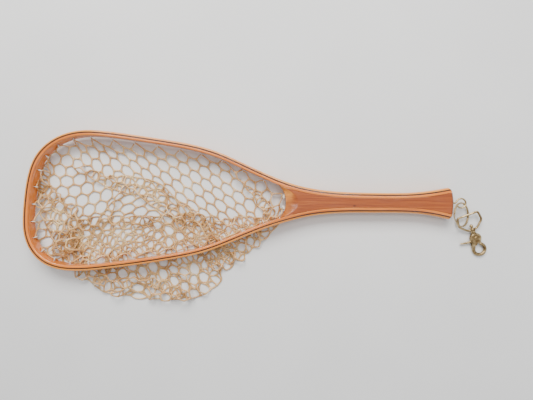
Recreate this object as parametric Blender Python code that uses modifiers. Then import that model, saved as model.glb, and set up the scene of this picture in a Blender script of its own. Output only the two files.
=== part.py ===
"""Landing net: a laminated wooden hoop and handle, a laced rubber bag, and a brass hanger.

The frame is metres, +Z up. The origin is on the flat underside of the grip at its
narrowest, +X runs along the handle to the butt, and the hoop lies on the -X side.
Dimensions below are millimetres and are scaled to metres when a mesh is made.
"""

import math

import bmesh
import bpy
import numpy as np
from mathutils import Matrix, Vector

MM = 0.001

# ---------------------------------------------------------------- driving dimensions
HEIGHT = 22.0            # hoop and handle, underside to top
OUTER_T = 2.8            # outside ply
MIDDLE_T = 1.8           # dark ply
INNER_T = 3.6            # inside ply
GLUE = 0.1               # glue line between two plies
CORE_GAP = 0.3           # glue line between the inside ply and the handle core
LAMINATE = OUTER_T + MIDDLE_T + INNER_T + 2 * GLUE
HOOP_EDGE_R = 2.3        # rounding of the hoop's outer edges
GRIP_EDGE_R = 5.5        # rounding of the grip's edges
INSIDE_EDGE_R = 1.9      # rounding of the hoop's inside edges
BUTT_X = 129.5           # end of the handle on its centre line
BUTT_CORNER_R = 7.0      # plan rounding of the butt's corners
BUTT_HALF_W = 24.6
BUTT_CROWN = 0.0055      # the butt's end bows out by this times y squared
BUTT_EDGE_R = 6.5        # rounding of the butt's top and bottom edges
THROAT_R = 37.2          # hollow end of the core, seen from the bag
THROAT_X = -127.9        # deepest point of that hollow
SCOOP_LENGTH = 19.5      # bevel from the core's top face down to the throat
SCOOP_DEPTH = 5.5

GROOVE_W = 2.2           # lacing groove round the hoop's outside
GROOVE_DEPTH = 0.9
CORD_R = 0.75
CORD_OUT = 0.2           # the cord's centre stands this far outside the hoop
BIGHT_HALF = 0.85        # half the distance between a loop's two legs
BIGHT_REACH = 2.2        # a loop stands this far inside the hoop
HOLE_R = 2.1
SIDE_PITCH = 36.0        # lacing holes along the sides
HEAD_PITCH = 28.5        # lacing holes round the head
KNOT_Y = 12.5            # where the cord's ends leave the throat
KNOT_OUT = 4.5

BAG_CLEAR = 13.6         # bag rim to the hoop's outside
BAG_RIM_Z = 10.5
BAG_WALL = 1.6
BAG_POINTS = 48

EYE = (143.9, 1.0, 12.2)     # screw eye
EYE_R, EYE_WIRE = 7.2, 1.3
RING = (145.0, -16.8, 11.6)  # split ring
RING_R, RING_RADIAL, RING_AXIAL, RING_PITCH = 18.3, 2.0, 1.2, 1.35
BAR = (157.1, -17.5, 6.2)    # middle of the bail's bar
BAIL_WIRE = 1.65
BOSS = (22.0, 27.0, 3.5)     # along the swivel's axis from the bar: start, end, radius
STUD_BALL, STUD_BALL_AT, STUD_R, STUD_END = 2.75, 18.6, 1.35, 31.2
RIVET_AT = 39.0              # rivet's distance from the bar
HEAD_R, HEAD_T = 8.4, 6.4
SLOT_T, PLATE_T = 3.4, 3.0
BOW_AT, BOW_R, BOW_WIRE = 18.5, 8.85, 2.5
GATE_WIRE = 2.4
GATE_FROM, GATE_TO, HOOK_TO = 27.0, 138.0, 142.5   # degrees round the bow
RIVET_R = 2.0

# outside of the hoop and handle, from one corner of the butt round to the other
OUTLINE = (
    (126.0, 25.6), (100.0, 20.8), (72.0, 17.3), (38.0, 15.8), (0.0, 15.8),
    (-46.0, 17.0), (-83.0, 20.7), (-119.5, 28.7), (-156.0, 42.3), (-193.0, 58.7),
    (-230.0, 74.8), (-270.0, 86.5), (-322.0, 95.3), (-377.0, 103.0), (-416.0, 107.1),
    (-437.0, 107.6), (-458.0, 104.8), (-480.0, 97.0), (-501.0, 82.2), (-515.0, 64.0),
    (-523.5, 41.0), (-529.0, 9.0), (-531.3, -22.0), (-530.8, -45.0), (-526.0, -65.0),
    (-515.5, -83.5), (-498.0, -98.5), (-477.0, -106.2), (-448.0, -108.6),
    (-400.0, -104.4), (-350.0, -97.4), (-300.0, -88.9), (-259.0, -79.9),
    (-228.5, -69.3), (-190.0, -53.1), (-158.0, -40.3), (-128.0, -30.6),
    (-97.5, -22.8), (-66.0, -18.1), (-30.0, -16.0), (10.0, -15.6), (50.0, -15.4),
    (86.0, -17.4), (106.0, -20.6), (126.0, -25.2),
)
# edge of the bag where it spills out under the hoop
LOBE = (
    (-478.0, -100.0), (-463.0, -116.0), (-430.0, -142.0), (-382.0, -153.5),
    (-330.0, -156.5), (-286.0, -156.0), (-250.0, -148.0), (-215.0, -132.5),
    (-190.0, -114.5), (-164.0, -88.0), (-146.0, -60.0), (-138.0, -36.0),
)


# ---------------------------------------------------------------- small maths
def smooth(x, low, high):
    t = min(1.0, max(0.0, (x - low) / (high - low)))
    return t * t * (3 - 2 * t)


def spline(points, count):
    """Natural cubic spline through the points, spaced by chord length."""
    p = np.array(points, float)
    t = np.concatenate([[0], np.cumsum(np.hypot(*np.diff(p, axis=0).T))])
    n, h = len(p), np.diff(t)
    a, b = np.eye(n), np.zeros((n, 2))
    for i in range(1, n - 1):
        a[i, i - 1 : i + 2] = h[i - 1], 2 * (h[i - 1] + h[i]), h[i]
        b[i] = 6 * ((p[i + 1] - p[i]) / h[i] - (p[i] - p[i - 1]) / h[i - 1])
    m = np.linalg.solve(a, b)
    x = np.linspace(0, t[-1], count)
    i = np.clip(np.searchsorted(t, x) - 1, 0, n - 2)
    u, v, w = (t[i + 1] - x)[:, None], (x - t[i])[:, None], h[i][:, None]
    return (
        m[i] * u**3 / (6 * w) + m[i + 1] * v**3 / (6 * w)
        + (p[i] / w - m[i] * w / 6) * u + (p[i + 1] / w - m[i + 1] * w / 6) * v
    )


class Path:
    """The outline by arc length, with the normal that points into the wood."""

    def __init__(self):
        self.p = spline(OUTLINE, 6000)
        self.s = np.concatenate([[0], np.cumsum(np.hypot(*np.diff(self.p, axis=0).T))])
        tangent = np.gradient(self.p, self.s, axis=0)
        tangent /= np.linalg.norm(tangent, axis=1)[:, None]
        self.t = tangent
        turn = np.gradient(np.unwrap(np.arctan2(tangent[:, 1], tangent[:, 0])), self.s)
        kernel = np.ones(81) / 81
        self.k = np.convolve(np.pad(turn, 40, mode="edge"), kernel, "valid")

    def at(self, s, d=0.0):
        """The point at arc length s, d inside the outside surface."""
        x, y = (np.interp(s, self.s, self.p[:, i]) for i in (0, 1))
        tx, ty = (np.interp(s, self.s, self.t[:, i]) for i in (0, 1))
        size = math.hypot(tx, ty)
        return x - ty / size * d, y + tx / size * d

    def s_of_x(self, x, far):
        half = len(self.s) // 2
        part = slice(half, None) if far else slice(0, half)
        xs, ss = self.p[part, 0], self.s[part]
        order = np.argsort(xs)
        return float(np.interp(x, xs[order], ss[order]))


PATH = Path()
S_NEAR = PATH.s_of_x(-125.0, False)   # ends of the lacing groove
S_FAR = PATH.s_of_x(-125.0, True)


def stations():
    """Arc lengths that follow the outline to within a fifth of a millimetre."""
    step = np.clip(np.sqrt(8 * 0.2 / np.maximum(np.abs(PATH.k), 1e-5)), 5, 26)
    count = np.concatenate([[0], np.cumsum(np.diff(PATH.s) / step[1:])])
    n = int(math.ceil(count[-1]))
    even = [float(np.interp(i * count[-1] / n, count, PATH.s)) for i in range(n + 1)]
    # the groove starts and stops between these
    extra = [S_NEAR - 14, S_NEAR - 4, S_FAR + 4, S_FAR + 14]
    even = [s for s in even if min(abs(s - e) for e in extra) > 5]
    return sorted(even + extra)


STATIONS = stations()


def hole_places():
    """Arc lengths of the lacing holes, closer together round the head."""
    first, last = S_NEAR + 36.0, S_FAR - 36.0
    s = np.linspace(first, last, 1500)
    x = np.interp(s, PATH.s, PATH.p[:, 0])
    head = np.array([smooth(-v, 425, 455) for v in x])
    pitch = SIDE_PITCH + (HEAD_PITCH - SIDE_PITCH) * head
    count = np.concatenate([[0], np.cumsum(np.diff(s) / pitch[1:])])
    n = int(round(count[-1]))
    return [float(np.interp(i * count[-1] / n, count, s)) for i in range(n + 1)]


HOLES = hole_places()


def edge_drop(d, r):
    """How far a rounded edge of radius r falls at d from its side."""
    if d >= r:
        return 0.0
    return r - math.sqrt(max(0.0, r * r - (r - d) ** 2))


def top_drop(s, d):
    """How far the wood's top face lies below HEIGHT, and its underside above 0."""
    x = PATH.at(s)[0]
    grip = smooth(x, -165, -60)
    outer = HOOP_EDGE_R + (GRIP_EDGE_R - HOOP_EDGE_R) * grip
    inner = INSIDE_EDGE_R * (1 - smooth(x, -165, -138))
    drop = edge_drop(d, outer)
    if inner > 0.05:
        drop = max(drop, edge_drop(LAMINATE - d, inner))
    return drop


def butt_end(y):
    """X of the handle's end at this y."""
    over = min(abs(y), BUTT_HALF_W) - (BUTT_HALF_W - BUTT_CORNER_R)
    corner = edge_drop(BUTT_CORNER_R - over, BUTT_CORNER_R) if over > 0 else 0.0
    return BUTT_X - BUTT_CROWN * y * y - corner


def throat(y):
    return THROAT_X - THROAT_R + math.sqrt(THROAT_R**2 - min(abs(y), 27.5) ** 2)


# ---------------------------------------------------------------- scene helpers
def clear_scene():
    for obj in list(bpy.data.objects):
        bpy.data.objects.remove(obj, do_unlink=True)
    for group in list(bpy.data.collections):
        bpy.data.collections.remove(group)


def collection(name):
    group = bpy.data.collections.new(name)
    bpy.context.scene.collection.children.link(group)
    return group


clear_scene()
NET = collection("landing_net")
TOOLS = collection("cutters_and_guides")


def material(name, colour, roughness, metallic=0.0):
    made = bpy.data.materials.new(name)
    made.use_nodes = True
    made.diffuse_color = (*colour, 1)
    shader = made.node_tree.nodes["Principled BSDF"]
    shader.inputs["Base Color"].default_value = (*colour, 1)
    shader.inputs["Roughness"].default_value = roughness
    shader.inputs["Metallic"].default_value = metallic
    return made


def new_object(name, data, group=None, mat=None):
    obj = bpy.data.objects.new(name, data)
    (group or NET).objects.link(obj)
    if mat:
        data.materials.append(mat)
    return obj


def mesh_object(name, points, faces, group=None, mat=None, smooth_angle=40):
    mesh = bpy.data.meshes.new(name)
    mesh.from_pydata([Vector(p) * MM for p in points], [], faces)
    made = bmesh.new()
    made.from_mesh(mesh)
    bmesh.ops.recalc_face_normals(made, faces=made.faces)
    made.to_mesh(mesh)
    made.free()
    if smooth_angle:
        mesh.shade_smooth()
        mesh.set_sharp_from_angle(angle=math.radians(smooth_angle))
    return new_object(name, mesh, group, mat)


def loft(name, sections, group=None, mat=None, smooth_angle=40):
    """A closed skin over sections of equal point count, with flat ends."""
    n = len(sections[0])
    points = [p for section in sections for p in section]
    faces = []
    for i in range(len(sections) - 1):
        for j in range(n):
            k = (j + 1) % n
            faces.append((i * n + j, i * n + k, (i + 1) * n + k, (i + 1) * n + j))
    last = (len(sections) - 1) * n
    faces.append(tuple(range(n)))
    faces.append(tuple(last + j for j in reversed(range(n))))
    return mesh_object(name, points, faces, group, mat, smooth_angle)


def tool(obj):
    obj.hide_render = True
    obj.display_type = "WIRE"
    return obj


def boolean(obj, other, operation):
    mod = obj.modifiers.new(operation.lower() + "_" + other.name, "BOOLEAN")
    mod.operation = operation
    mod.solver = "EXACT"
    mod.object = other
    return mod


def cylinder(name, radius, depth, matrix=None, sides=16, group=None, mat=None, radius2=None):
    """A cylinder along its own Z, centred, from a cone primitive."""
    mesh = bpy.data.meshes.new(name)
    made = bmesh.new()
    bmesh.ops.create_cone(
        made, cap_ends=True, segments=sides, radius1=radius * MM,
        radius2=(radius if radius2 is None else radius2) * MM, depth=depth * MM,
    )
    made.to_mesh(mesh)
    made.free()
    mesh.shade_smooth()
    mesh.set_sharp_from_angle(angle=math.radians(40))
    obj = new_object(name, mesh, group, mat)
    if matrix is not None:
        obj.matrix_world = matrix
    return obj


def wire(name, points, radius, group=None, mat=None, cyclic=False, resolution=1):
    """A round wire through the points, as a curve with a bevel depth."""
    curve = bpy.data.curves.new(name, "CURVE")
    curve.dimensions = "3D"
    curve.bevel_depth = radius * MM
    curve.bevel_resolution = resolution
    curve.use_fill_caps = True
    line = curve.splines.new("POLY")
    line.points.add(len(points) - 1)
    for point, p in zip(line.points, points):
        point.co = (p[0] * MM, p[1] * MM, p[2] * MM, 1)
    line.use_cyclic_u = cyclic
    line.use_smooth = True
    return new_object(name, curve, group, mat)


def plate(name, outline, thickness, group=None, mat=None, z=0.0):
    """A flat outline extruded evenly about height z."""
    curve = bpy.data.curves.new(name, "CURVE")
    curve.dimensions = "2D"
    curve.fill_mode = "BOTH"
    curve.extrude = thickness / 2 * MM
    line = curve.splines.new("POLY")
    line.points.add(len(outline) - 1)
    for point, p in zip(line.points, outline):
        point.co = (p[0] * MM, p[1] * MM, 0, 1)
    line.use_cyclic_u = True
    obj = new_object(name, curve, group, mat)
    obj.location.z = z * MM
    return obj


def as_mesh(obj, weld=2e-6):
    """The same object as a mesh with its caps welded, so it can be cut or joined."""
    bpy.context.view_layer.update()
    graph = bpy.context.evaluated_depsgraph_get()
    mesh = bpy.data.meshes.new_from_object(obj.evaluated_get(graph))
    made = bmesh.new()
    made.from_mesh(mesh)
    bmesh.ops.remove_doubles(made, verts=made.verts, dist=weld)
    bmesh.ops.recalc_face_normals(made, faces=made.faces)
    made.to_mesh(mesh)
    made.free()
    name, group, matrix = obj.name, obj.users_collection[0], obj.matrix_world.copy()
    bpy.data.objects.remove(obj, do_unlink=True)
    mesh.name = name
    fresh = bpy.data.objects.new(name, mesh)
    group.objects.link(fresh)
    fresh.matrix_world = matrix
    mesh.shade_smooth()
    mesh.set_sharp_from_angle(angle=math.radians(40))
    return fresh


def turned(name, profile, group=None, mat=None, steps=14):
    """A solid of revolution about Z from a profile that runs down its outer side."""
    mesh = bpy.data.meshes.new(name)
    mesh.from_pydata([(r * MM, 0, z * MM) for r, z in profile],
                     [(i, i + 1) for i in range(len(profile) - 1)], [])
    obj = new_object(name, mesh, group, mat)
    mod = obj.modifiers.new("turn", "SCREW")
    mod.steps = mod.render_steps = steps
    mod.use_merge_vertices = True
    mod.merge_threshold = 0.00001
    mod.use_smooth_shade = True
    return obj


def frame_matrix(x_axis, y_axis, origin):
    """World matrix of a local frame, in metres, from its axes and its origin in mm."""
    x, y = Vector(x_axis).normalized(), Vector(y_axis).normalized()
    z = x.cross(y)
    rot = Matrix((x, y, z)).transposed().to_4x4()
    return Matrix.Translation(Vector(origin) * MM) @ rot


def empty(name, matrix, parent=None):
    obj = bpy.data.objects.new(name, None)
    obj.empty_display_size = 0.01
    NET.objects.link(obj)
    seat(obj, parent, matrix)
    return obj


WORLD_OF = {}


def seat(obj, parent, matrix):
    """Places an object, given its world matrix, under a parent placed the same way."""
    WORLD_OF[obj.name] = matrix
    if parent:
        obj.parent = parent
        obj.matrix_basis = WORLD_OF[parent.name].inverted() @ matrix
    else:
        obj.matrix_basis = matrix


# ---------------------------------------------------------------- materials
M_OUTER = material("outer_ply_wood", (0.80, 0.42, 0.16), 0.30)
M_MIDDLE = material("middle_ply_wood", (0.14, 0.045, 0.03), 0.30)
M_INNER = material("inner_ply_wood", (0.68, 0.30, 0.09), 0.30)
M_CORE = material("handle_core_wood", (0.50, 0.17, 0.06), 0.28)
M_CORD = material("lacing_cord_white", (0.82, 0.78, 0.70), 0.70)
M_RUBBER = material("net_rubber", (0.74, 0.58, 0.40), 0.35)
M_BRASS = material("antique_brass", (0.46, 0.36, 0.22), 0.35, 1.0)
M_STEEL = material("spring_steel", (0.55, 0.55, 0.56), 0.30, 1.0)


# ---------------------------------------------------------------- wood
def end_point(s, d, direction):
    """The point d inside the outside surface where a ply meets the butt's end."""
    x, y = PATH.at(s, d)
    x2, y2 = PATH.at(s + direction * 8, d)
    slope = (y - y2) / (x - x2)
    for _ in range(8):
        new = butt_end(y)
        y += (new - x) * slope
        x = new
    return x, y


def ply(name, near, far, mat, groove=False):
    """One strip of the laminate, from near to far inside the outside surface."""
    middle = HEIGHT / 2
    depths = [near, (near + far) / 2, far]
    if near == 0:
        depths = [0.0, 0.5, 1.5, far]
    elif far > LAMINATE - 0.2:
        depths = [near, far - 1.0, far - 0.3, far]
    s_list = [s for s in STATIONS]
    sections = []
    for number, s in enumerate(s_list):
        end = number in (0, len(s_list) - 1)
        direction = 1 if number == 0 else -1
        ring = []
        cut = 0.0
        if groove:
            cut = GROOVE_DEPTH if S_NEAR - 5 < s < S_FAR + 5 else 0.0
        upper = [(d, HEIGHT - top_drop(s, d)) for d in depths]
        lower = [(d, top_drop(s, d)) for d in reversed(depths)]
        around = upper + lower
        if groove:
            half = GROOVE_W / 2
            around += [(0.0, middle - half), (cut, middle - half),
                       (cut, middle + half), (0.0, middle + half)]
        for d, z in around:
            x, y = end_point(s, d, direction) if end else PATH.at(s, d)
            ring.append((x, y, z))
        sections.append(ring)
    return loft(name, sections, mat=mat)


def merged_groove(obj):
    """Drops the groove's doubled points where it has run out into a flat side."""
    made = bmesh.new()
    made.from_mesh(obj.data)
    bmesh.ops.remove_doubles(made, verts=made.verts, dist=2e-6)
    bmesh.ops.dissolve_degenerate(made, dist=1e-6, edges=made.edges)
    made.to_mesh(obj.data)
    made.free()


outer_ply = ply("outer_ply", 0.0, OUTER_T, M_OUTER, groove=True)
merged_groove(outer_ply)
middle_ply = ply("middle_ply", OUTER_T + GLUE, OUTER_T + GLUE + MIDDLE_T, M_MIDDLE)
inner_ply = ply("inner_ply", LAMINATE - INNER_T, LAMINATE, M_INNER)


def core_side(x, far):
    """Y of the core's side at this x."""
    d = LAMINATE + CORE_GAP
    s = PATH.s_of_x(x, far)
    for _ in range(6):
        px, py = PATH.at(s, d)
        s += (px - x) if not far else (x - px)
    return PATH.at(s, d)[1]


def handle_core():
    across = (-1.0, -0.8, -0.45, 0.0, 0.45, 0.8, 1.0)
    along = [0, 0.008, 0.018, 0.032, 0.05, 0.08, 0.125, 0.18, 0.24, 0.31, 0.4, 0.5, 0.6,
             0.68, 0.76, 0.83, 0.89, 0.935, 0.965, 0.982, 0.993, 1.0]
    sections = []
    for t in along:
        top, low = [], []
        for j in across:
            x, y = 0.0, 0.0
            for _ in range(30):
                x_new = throat(y) + t * (butt_end(y) - throat(y))
                x = 0.5 * x + 0.5 * x_new
                a, b = core_side(x, True), core_side(x, False)
                y = (a + b) / 2 + j * (b - a) / 2
            fall = edge_drop(butt_end(y) - x, BUTT_EDGE_R - 1.0) * 0.93
            back = x - throat(y)
            # the scoop reaches less far back towards the core's sides
            reach = SCOOP_LENGTH * max(0.0, 1 - (y / 24.5) ** 2)
            scoop = SCOOP_DEPTH * min(1.0, reach / 8) * (max(0.0, 1 - back / reach) ** 1.3) if reach > 0.5 else 0.0
            top.append((x, y, HEIGHT - max(fall, scoop)))
            low.append((x, y, fall))
        sections.append(top + low[::-1])
    return loft("handle_core", sections, mat=M_CORE, smooth_angle=35)


core = handle_core()

# ---------------------------------------------------------------- lacing holes
MID = HEIGHT / 2


def drill(name, a, b, radius, sides=6):
    """A cutter from point a to point b, in mm, with a corner towards the horizontal."""
    a, b = Vector(a), Vector(b)
    z = (b - a).normalized()
    x = Vector((0, 0, 1)).cross(z).normalized()
    y = z.cross(x)
    rot = Matrix((x, y, z)).transposed().to_4x4()
    matrix = Matrix.Translation((a + b) / 2 * MM) @ rot
    mesh = bpy.data.meshes.new(name)
    made = bmesh.new()
    bmesh.ops.create_cone(made, cap_ends=True, segments=sides, radius1=radius * MM,
                          radius2=radius * MM, depth=(b - a).length * MM, matrix=matrix)
    made.to_mesh(mesh)
    made.free()
    return mesh


def join_meshes(name, meshes):
    made = bmesh.new()
    for mesh in meshes:
        made.from_mesh(mesh)
    whole = bpy.data.meshes.new(name)
    made.to_mesh(whole)
    made.free()
    for mesh in meshes:
        bpy.data.meshes.remove(mesh)
    return tool(new_object(name, whole, TOOLS))


drills = []
for number, s in enumerate(HOLES):
    drills.append(drill("lacing_drill", (*PATH.at(s, -3), MID), (*PATH.at(s, LAMINATE + 3), MID), HOLE_R))
END_BORES = []
for s, side in ((S_NEAR, 1), (S_FAR, -1)):
    outside = Vector((*PATH.at(s, 0), MID))
    inside = Vector((throat(KNOT_Y), side * KNOT_Y, MID))
    END_BORES.append((outside, inside))
    way = (inside - outside).normalized()
    drills.append(drill("end_drill", outside - way * 4, inside + way * 6, 1.35))
lacing_drills = join_meshes("lacing_drills", drills)
for strip in (outer_ply, middle_ply, inner_ply):
    boolean(strip, lacing_drills, "DIFFERENCE")
boolean(core, lacing_drills, "DIFFERENCE")
shank_bore = tool(cylinder("shank_bore", 1.65, 22, frame_matrix((0, 0, 1), (0, 1, 0), (121, EYE[1], EYE[2])), 10, TOOLS))
boolean(core, shank_bore, "DIFFERENCE")


# ---------------------------------------------------------------- cord
def cord_path():
    def on_groove(s):
        return (*PATH.at(s, -CORD_OUT), MID)

    out_a, in_a = END_BORES[0]
    out_b, in_b = END_BORES[1]
    way_a, way_b = (in_a - out_a).normalized(), (in_b - out_b).normalized()
    points = [tuple(in_a + way_a * KNOT_OUT), tuple(in_a - way_a * 2), tuple(out_a), on_groove(S_NEAR + 1.2)]
    stops = [("groove", s) for s in STATIONS if S_NEAR + 6 < s < S_FAR - 6]
    stops += [("hole", s) for s in HOLES]
    stops.sort(key=lambda item: item[1])
    stops = [
        item for item in stops
        if item[0] == "hole" or min(abs(item[1] - h) for h in HOLES) > 2.6
    ]
    for kind, s in stops:
        if kind == "groove":
            points.append(on_groove(s))
            continue
        reach = LAMINATE + BIGHT_REACH
        for shift, d in ((-1, -CORD_OUT), (-1, reach - 0.9), (0, reach), (1, reach - 0.9), (1, -CORD_OUT)):
            x, y = PATH.at(s, d)
            tx, ty = PATH.at(s + 0.5)
            ux, uy = PATH.at(s - 0.5)
            size = math.hypot(tx - ux, ty - uy)
            step = shift * BIGHT_HALF
            points.append((x + (tx - ux) / size * step, y + (ty - uy) / size * step, MID))
    points += [on_groove(S_FAR - 1.2), tuple(out_b), tuple(in_b - way_b * 2), tuple(in_b + way_b * KNOT_OUT)]
    return points


lacing_cord = wire("lacing_cord", cord_path(), CORD_R, mat=M_CORD)


# ---------------------------------------------------------------- bag
def bag_loop():
    """Closed loop just inside the hoop and the throat, evenly spaced."""
    pts = [PATH.at(s, BAG_CLEAR) for s in np.linspace(S_NEAR + 22, S_FAR - 22, 400)]
    for y in np.linspace(pts[-1][1] + 3, pts[0][1] - 3, 30):
        pts.append((throat(y) - 9.5, y))
    p = np.array(pts + [pts[0]])
    s = np.concatenate([[0], np.cumsum(np.hypot(*np.diff(p, axis=0).T))])
    # soften the two corners beside the throat
    even = np.linspace(0, s[-1], 600, endpoint=False)
    q = np.stack([np.interp(even, s, p[:, i]) for i in (0, 1)], 1)
    kernel = np.ones(9) / 9
    q = np.stack([np.convolve(np.pad(q[:, i], 4, mode="wrap"), kernel, "valid") for i in (0, 1)], 1)
    return q[:: len(q) // BAG_POINTS][:BAG_POINTS]


def net_bag():
    loop = bag_loop()
    n = len(loop)
    middle = np.array([-325.0, -4.0])
    lobe = spline(LOBE, 400)
    order = np.argsort(lobe[:, 0])
    lobe_y = lambda x: float(np.interp(x, lobe[order, 0], lobe[order, 1]))
    # each row: inward share of the way to the middle and height on a plain side,
    # then share of the lobe's depth (outward) and height on the spilled side
    rows = (
        (0.00, BAG_RIM_Z, 0.00, BAG_RIM_Z),
        (0.02, 4.0, 0.00, 4.5),
        (0.05, -1.0, -0.02, -1.2),
        (0.10, -2.8, 0.45, -1.75),
        (0.16, -3.6, 0.97, -2.0),
        (0.20, -4.4, 1.00, -3.4),
        (0.26, -5.0, 0.94, -4.8),
        (0.36, -5.1, 0.45, -5.1),
        (0.62, -5.1, -0.60, -5.1),
    )
    points = []
    for inward, z_in, out, z_out in rows:
        for x, y in loop:
            tow = middle - (x, y)
            plain = np.array([x + tow[0] * inward * 0.55, y + tow[1] * inward])
            weight = smooth(-y, 20, 45) * smooth(x, -489, -460) * (1 - smooth(x, -176, -146))
            depth = max(0.0, y - lobe_y(x))
            if out >= 0:
                spill = np.array([x, y - out * depth])
            else:
                spill = np.array([x, y]) + tow * -out
            px, py = plain * (1 - weight) + spill * weight
            points.append((px, py, z_in * (1 - weight) + z_out * weight))
    faces = []
    for i in range(len(rows) - 1):
        for j in range(n):
            k = (j + 1) % n
            faces.append((i * n + j, i * n + k, (i + 1) * n + k, (i + 1) * n + j))
    last = (len(rows) - 1) * n
    points.append((float(middle[0]), float(middle[1]), -5.1))
    for j in range(n):
        faces.append((last + j, last + (j + 1) % n, len(points) - 1))
    bag = mesh_object("net_bag", points, faces, mat=M_RUBBER, smooth_angle=60)
    mod = bag.modifiers.new("wall", "SOLIDIFY")
    mod.thickness = BAG_WALL * MM
    mod.offset = 0
    return bag


net_bag()

# ---------------------------------------------------------------- hanger
turns = np.radians(np.arange(180, 517, 16.75))
eye_points = [(112.0, EYE[1], EYE[2]), (134.6, EYE[1], EYE[2])]
eye_points += [(EYE[0] + EYE_R * math.cos(a), EYE[1] + EYE_R * math.sin(a) * -1, EYE[2]) for a in turns]
screw_eye = wire("screw_eye", eye_points, EYE_WIRE, mat=M_BRASS, resolution=2)

# the ring leans on the butt: its long way runs to -Y, its short way falls to +X
RING_LONG = Vector((0.065, -0.998, 0)).normalized()
RING_FALL = Vector((0.8403, 0.0547, -0.539)).normalized()
RING_LONG = (RING_LONG - RING_FALL * RING_LONG.dot(RING_FALL)).normalized()
ring_centre = Vector(RING)
ring_pivot_at = ring_centre - RING_LONG * RING_R
ring_frame = frame_matrix(RING_LONG, RING_FALL, ring_centre)
ring_pivot = empty("ring_pivot", frame_matrix(RING_LONG, RING_FALL, ring_pivot_at))


def split_ring():
    guide = bpy.data.curves.new("ring_section", "CURVE")
    guide.dimensions = "2D"
    line = guide.splines.new("POLY")
    half_r, half_a = RING_RADIAL / 2, RING_AXIAL / 2
    corners = ((half_r, half_a), (-half_r, half_a), (-half_r, -half_a), (half_r, -half_a))
    line.points.add(3)
    for point, (a, b) in zip(line.points, corners):
        point.co = (a * MM, b * MM, 0, 1)
    line.use_cyclic_u = True
    section = tool(new_object("ring_section", guide, TOOLS))
    curve = bpy.data.curves.new("split_ring", "CURVE")
    curve.dimensions = "3D"
    curve.bevel_mode = "OBJECT"
    curve.bevel_object = section
    curve.use_fill_caps = True
    curve.twist_mode = "Z_UP"
    line = curve.splines.new("POLY")
    # two flat turns joined by one short climb, which lies beside the butt
    start = 290.0
    angles = list(np.arange(25, 335, 14.8)) + [335, 347, 360, 373, 385] + list(np.arange(399, 694, 14.8)) + [695]
    line.points.add(len(angles) - 1)
    for point, a in zip(line.points, angles):
        turn = math.radians(a + start)
        z = RING_PITCH * (smooth(a, 335, 385) - 0.5)
        point.co = (RING_R * math.cos(turn) * MM, RING_R * math.sin(turn) * MM, z * MM, 1)
    obj = as_mesh(new_object("split_ring", curve, mat=M_BRASS))
    seat(obj, ring_pivot, ring_frame)
    return obj


split_ring()

# swivel: local X across, local Y back towards the bar, local Z up off the table
ALONG = Vector((0.3684, -0.9270, -0.0698)).normalized()
ACROSS = Vector((0.9294, 0.3654, 0.0522)).normalized()
ACROSS = (ACROSS - ALONG * ACROSS.dot(ALONG)).normalized()
bar_at = Vector(BAR)
bail_frame = frame_matrix(ACROSS, -ALONG, bar_at)
bail_pivot = empty("bail_pivot", bail_frame, ring_pivot)
rivet_at = bar_at + ALONG * RIVET_AT
snap_frame = frame_matrix(ACROSS, -ALONG, rivet_at)
snap_swivel = empty("snap_swivel", snap_frame, bail_pivot)
gate_pivot = empty("gate_pivot", snap_frame, snap_swivel)


def on_swivel(along):
    """Local matrix whose Z runs back along the swivel's axis, along mm past the bar."""
    return Matrix.Translation((0, -along * MM, 0)) @ Matrix.Rotation(math.radians(-90), 4, "X")


def joined(parts, name, mat, cuts=()):
    """One mesh from overlapping parts, cut by the tools given."""
    base = parts[0]
    for other in parts[1:]:
        boolean(base, tool(other), "UNION")
    for other in cuts:
        boolean(base, tool(other), "DIFFERENCE")
    bpy.context.view_layer.update()
    graph = bpy.context.evaluated_depsgraph_get()
    mesh = bpy.data.meshes.new_from_object(base.evaluated_get(graph))
    for obj in [base, *parts[1:], *cuts]:
        bpy.data.objects.remove(obj, do_unlink=True)
    made = bmesh.new()
    made.from_mesh(mesh)
    bmesh.ops.remove_doubles(made, verts=made.verts, dist=2e-6)
    bmesh.ops.dissolve_degenerate(made, dist=2e-6, edges=made.edges)
    made.to_mesh(mesh)
    made.free()
    mesh.materials.clear()
    mesh.shade_smooth()
    mesh.set_sharp_from_angle(angle=math.radians(40))
    return new_object(name, mesh, mat=mat)


# bail: a five-sided loop whose foot carries the swivel's boss
half = [(0.0, 0.0), (14.6, 0.0), (16.0, -0.5), (16.7, -1.8), (18.2, -12.2), (17.7, -14.4),
        (9.6, -22.2), (7.4, -23.7), (2.0, -24.6)]
loop = [(x, y, 0) for x, y in half] + [(-x, y, 0) for x, y in half[:0:-1]]
bail_wire = as_mesh(wire("bail_wire", loop, BAIL_WIRE, TOOLS, cyclic=True))
boss = cylinder("boss", BOSS[2], BOSS[1] - BOSS[0], on_swivel((BOSS[0] + BOSS[1]) / 2), 12, TOOLS)
stud_hole = cylinder("stud_hole", STUD_R + 0.3, 12, on_swivel((BOSS[0] + BOSS[1]) / 2), 10, TOOLS)
swivel_bail = joined([bail_wire, boss], "swivel_bail", M_BRASS, [stud_hole])
seat(swivel_bail, bail_pivot, bail_frame)


def swivel_stud():
    z = lambda along: RIVET_AT - along      # the stud's Z runs back to the bar
    ball = z(STUD_BALL_AT)
    profile = [(0.0, ball + STUD_BALL)]
    for a in range(20, 150, 20):
        profile.append((STUD_BALL * math.sin(math.radians(a)), ball + STUD_BALL * math.cos(math.radians(a))))
    profile += [(STUD_R, ball - 2.4), (STUD_R, z(STUD_END)), (0.0, z(STUD_END))]
    obj = turned("swivel_stud", profile, mat=M_BRASS, steps=10)
    seat(obj, snap_swivel, snap_frame @ Matrix.Rotation(math.radians(-90), 4, "X"))
    return obj


swivel_stud()


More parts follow.
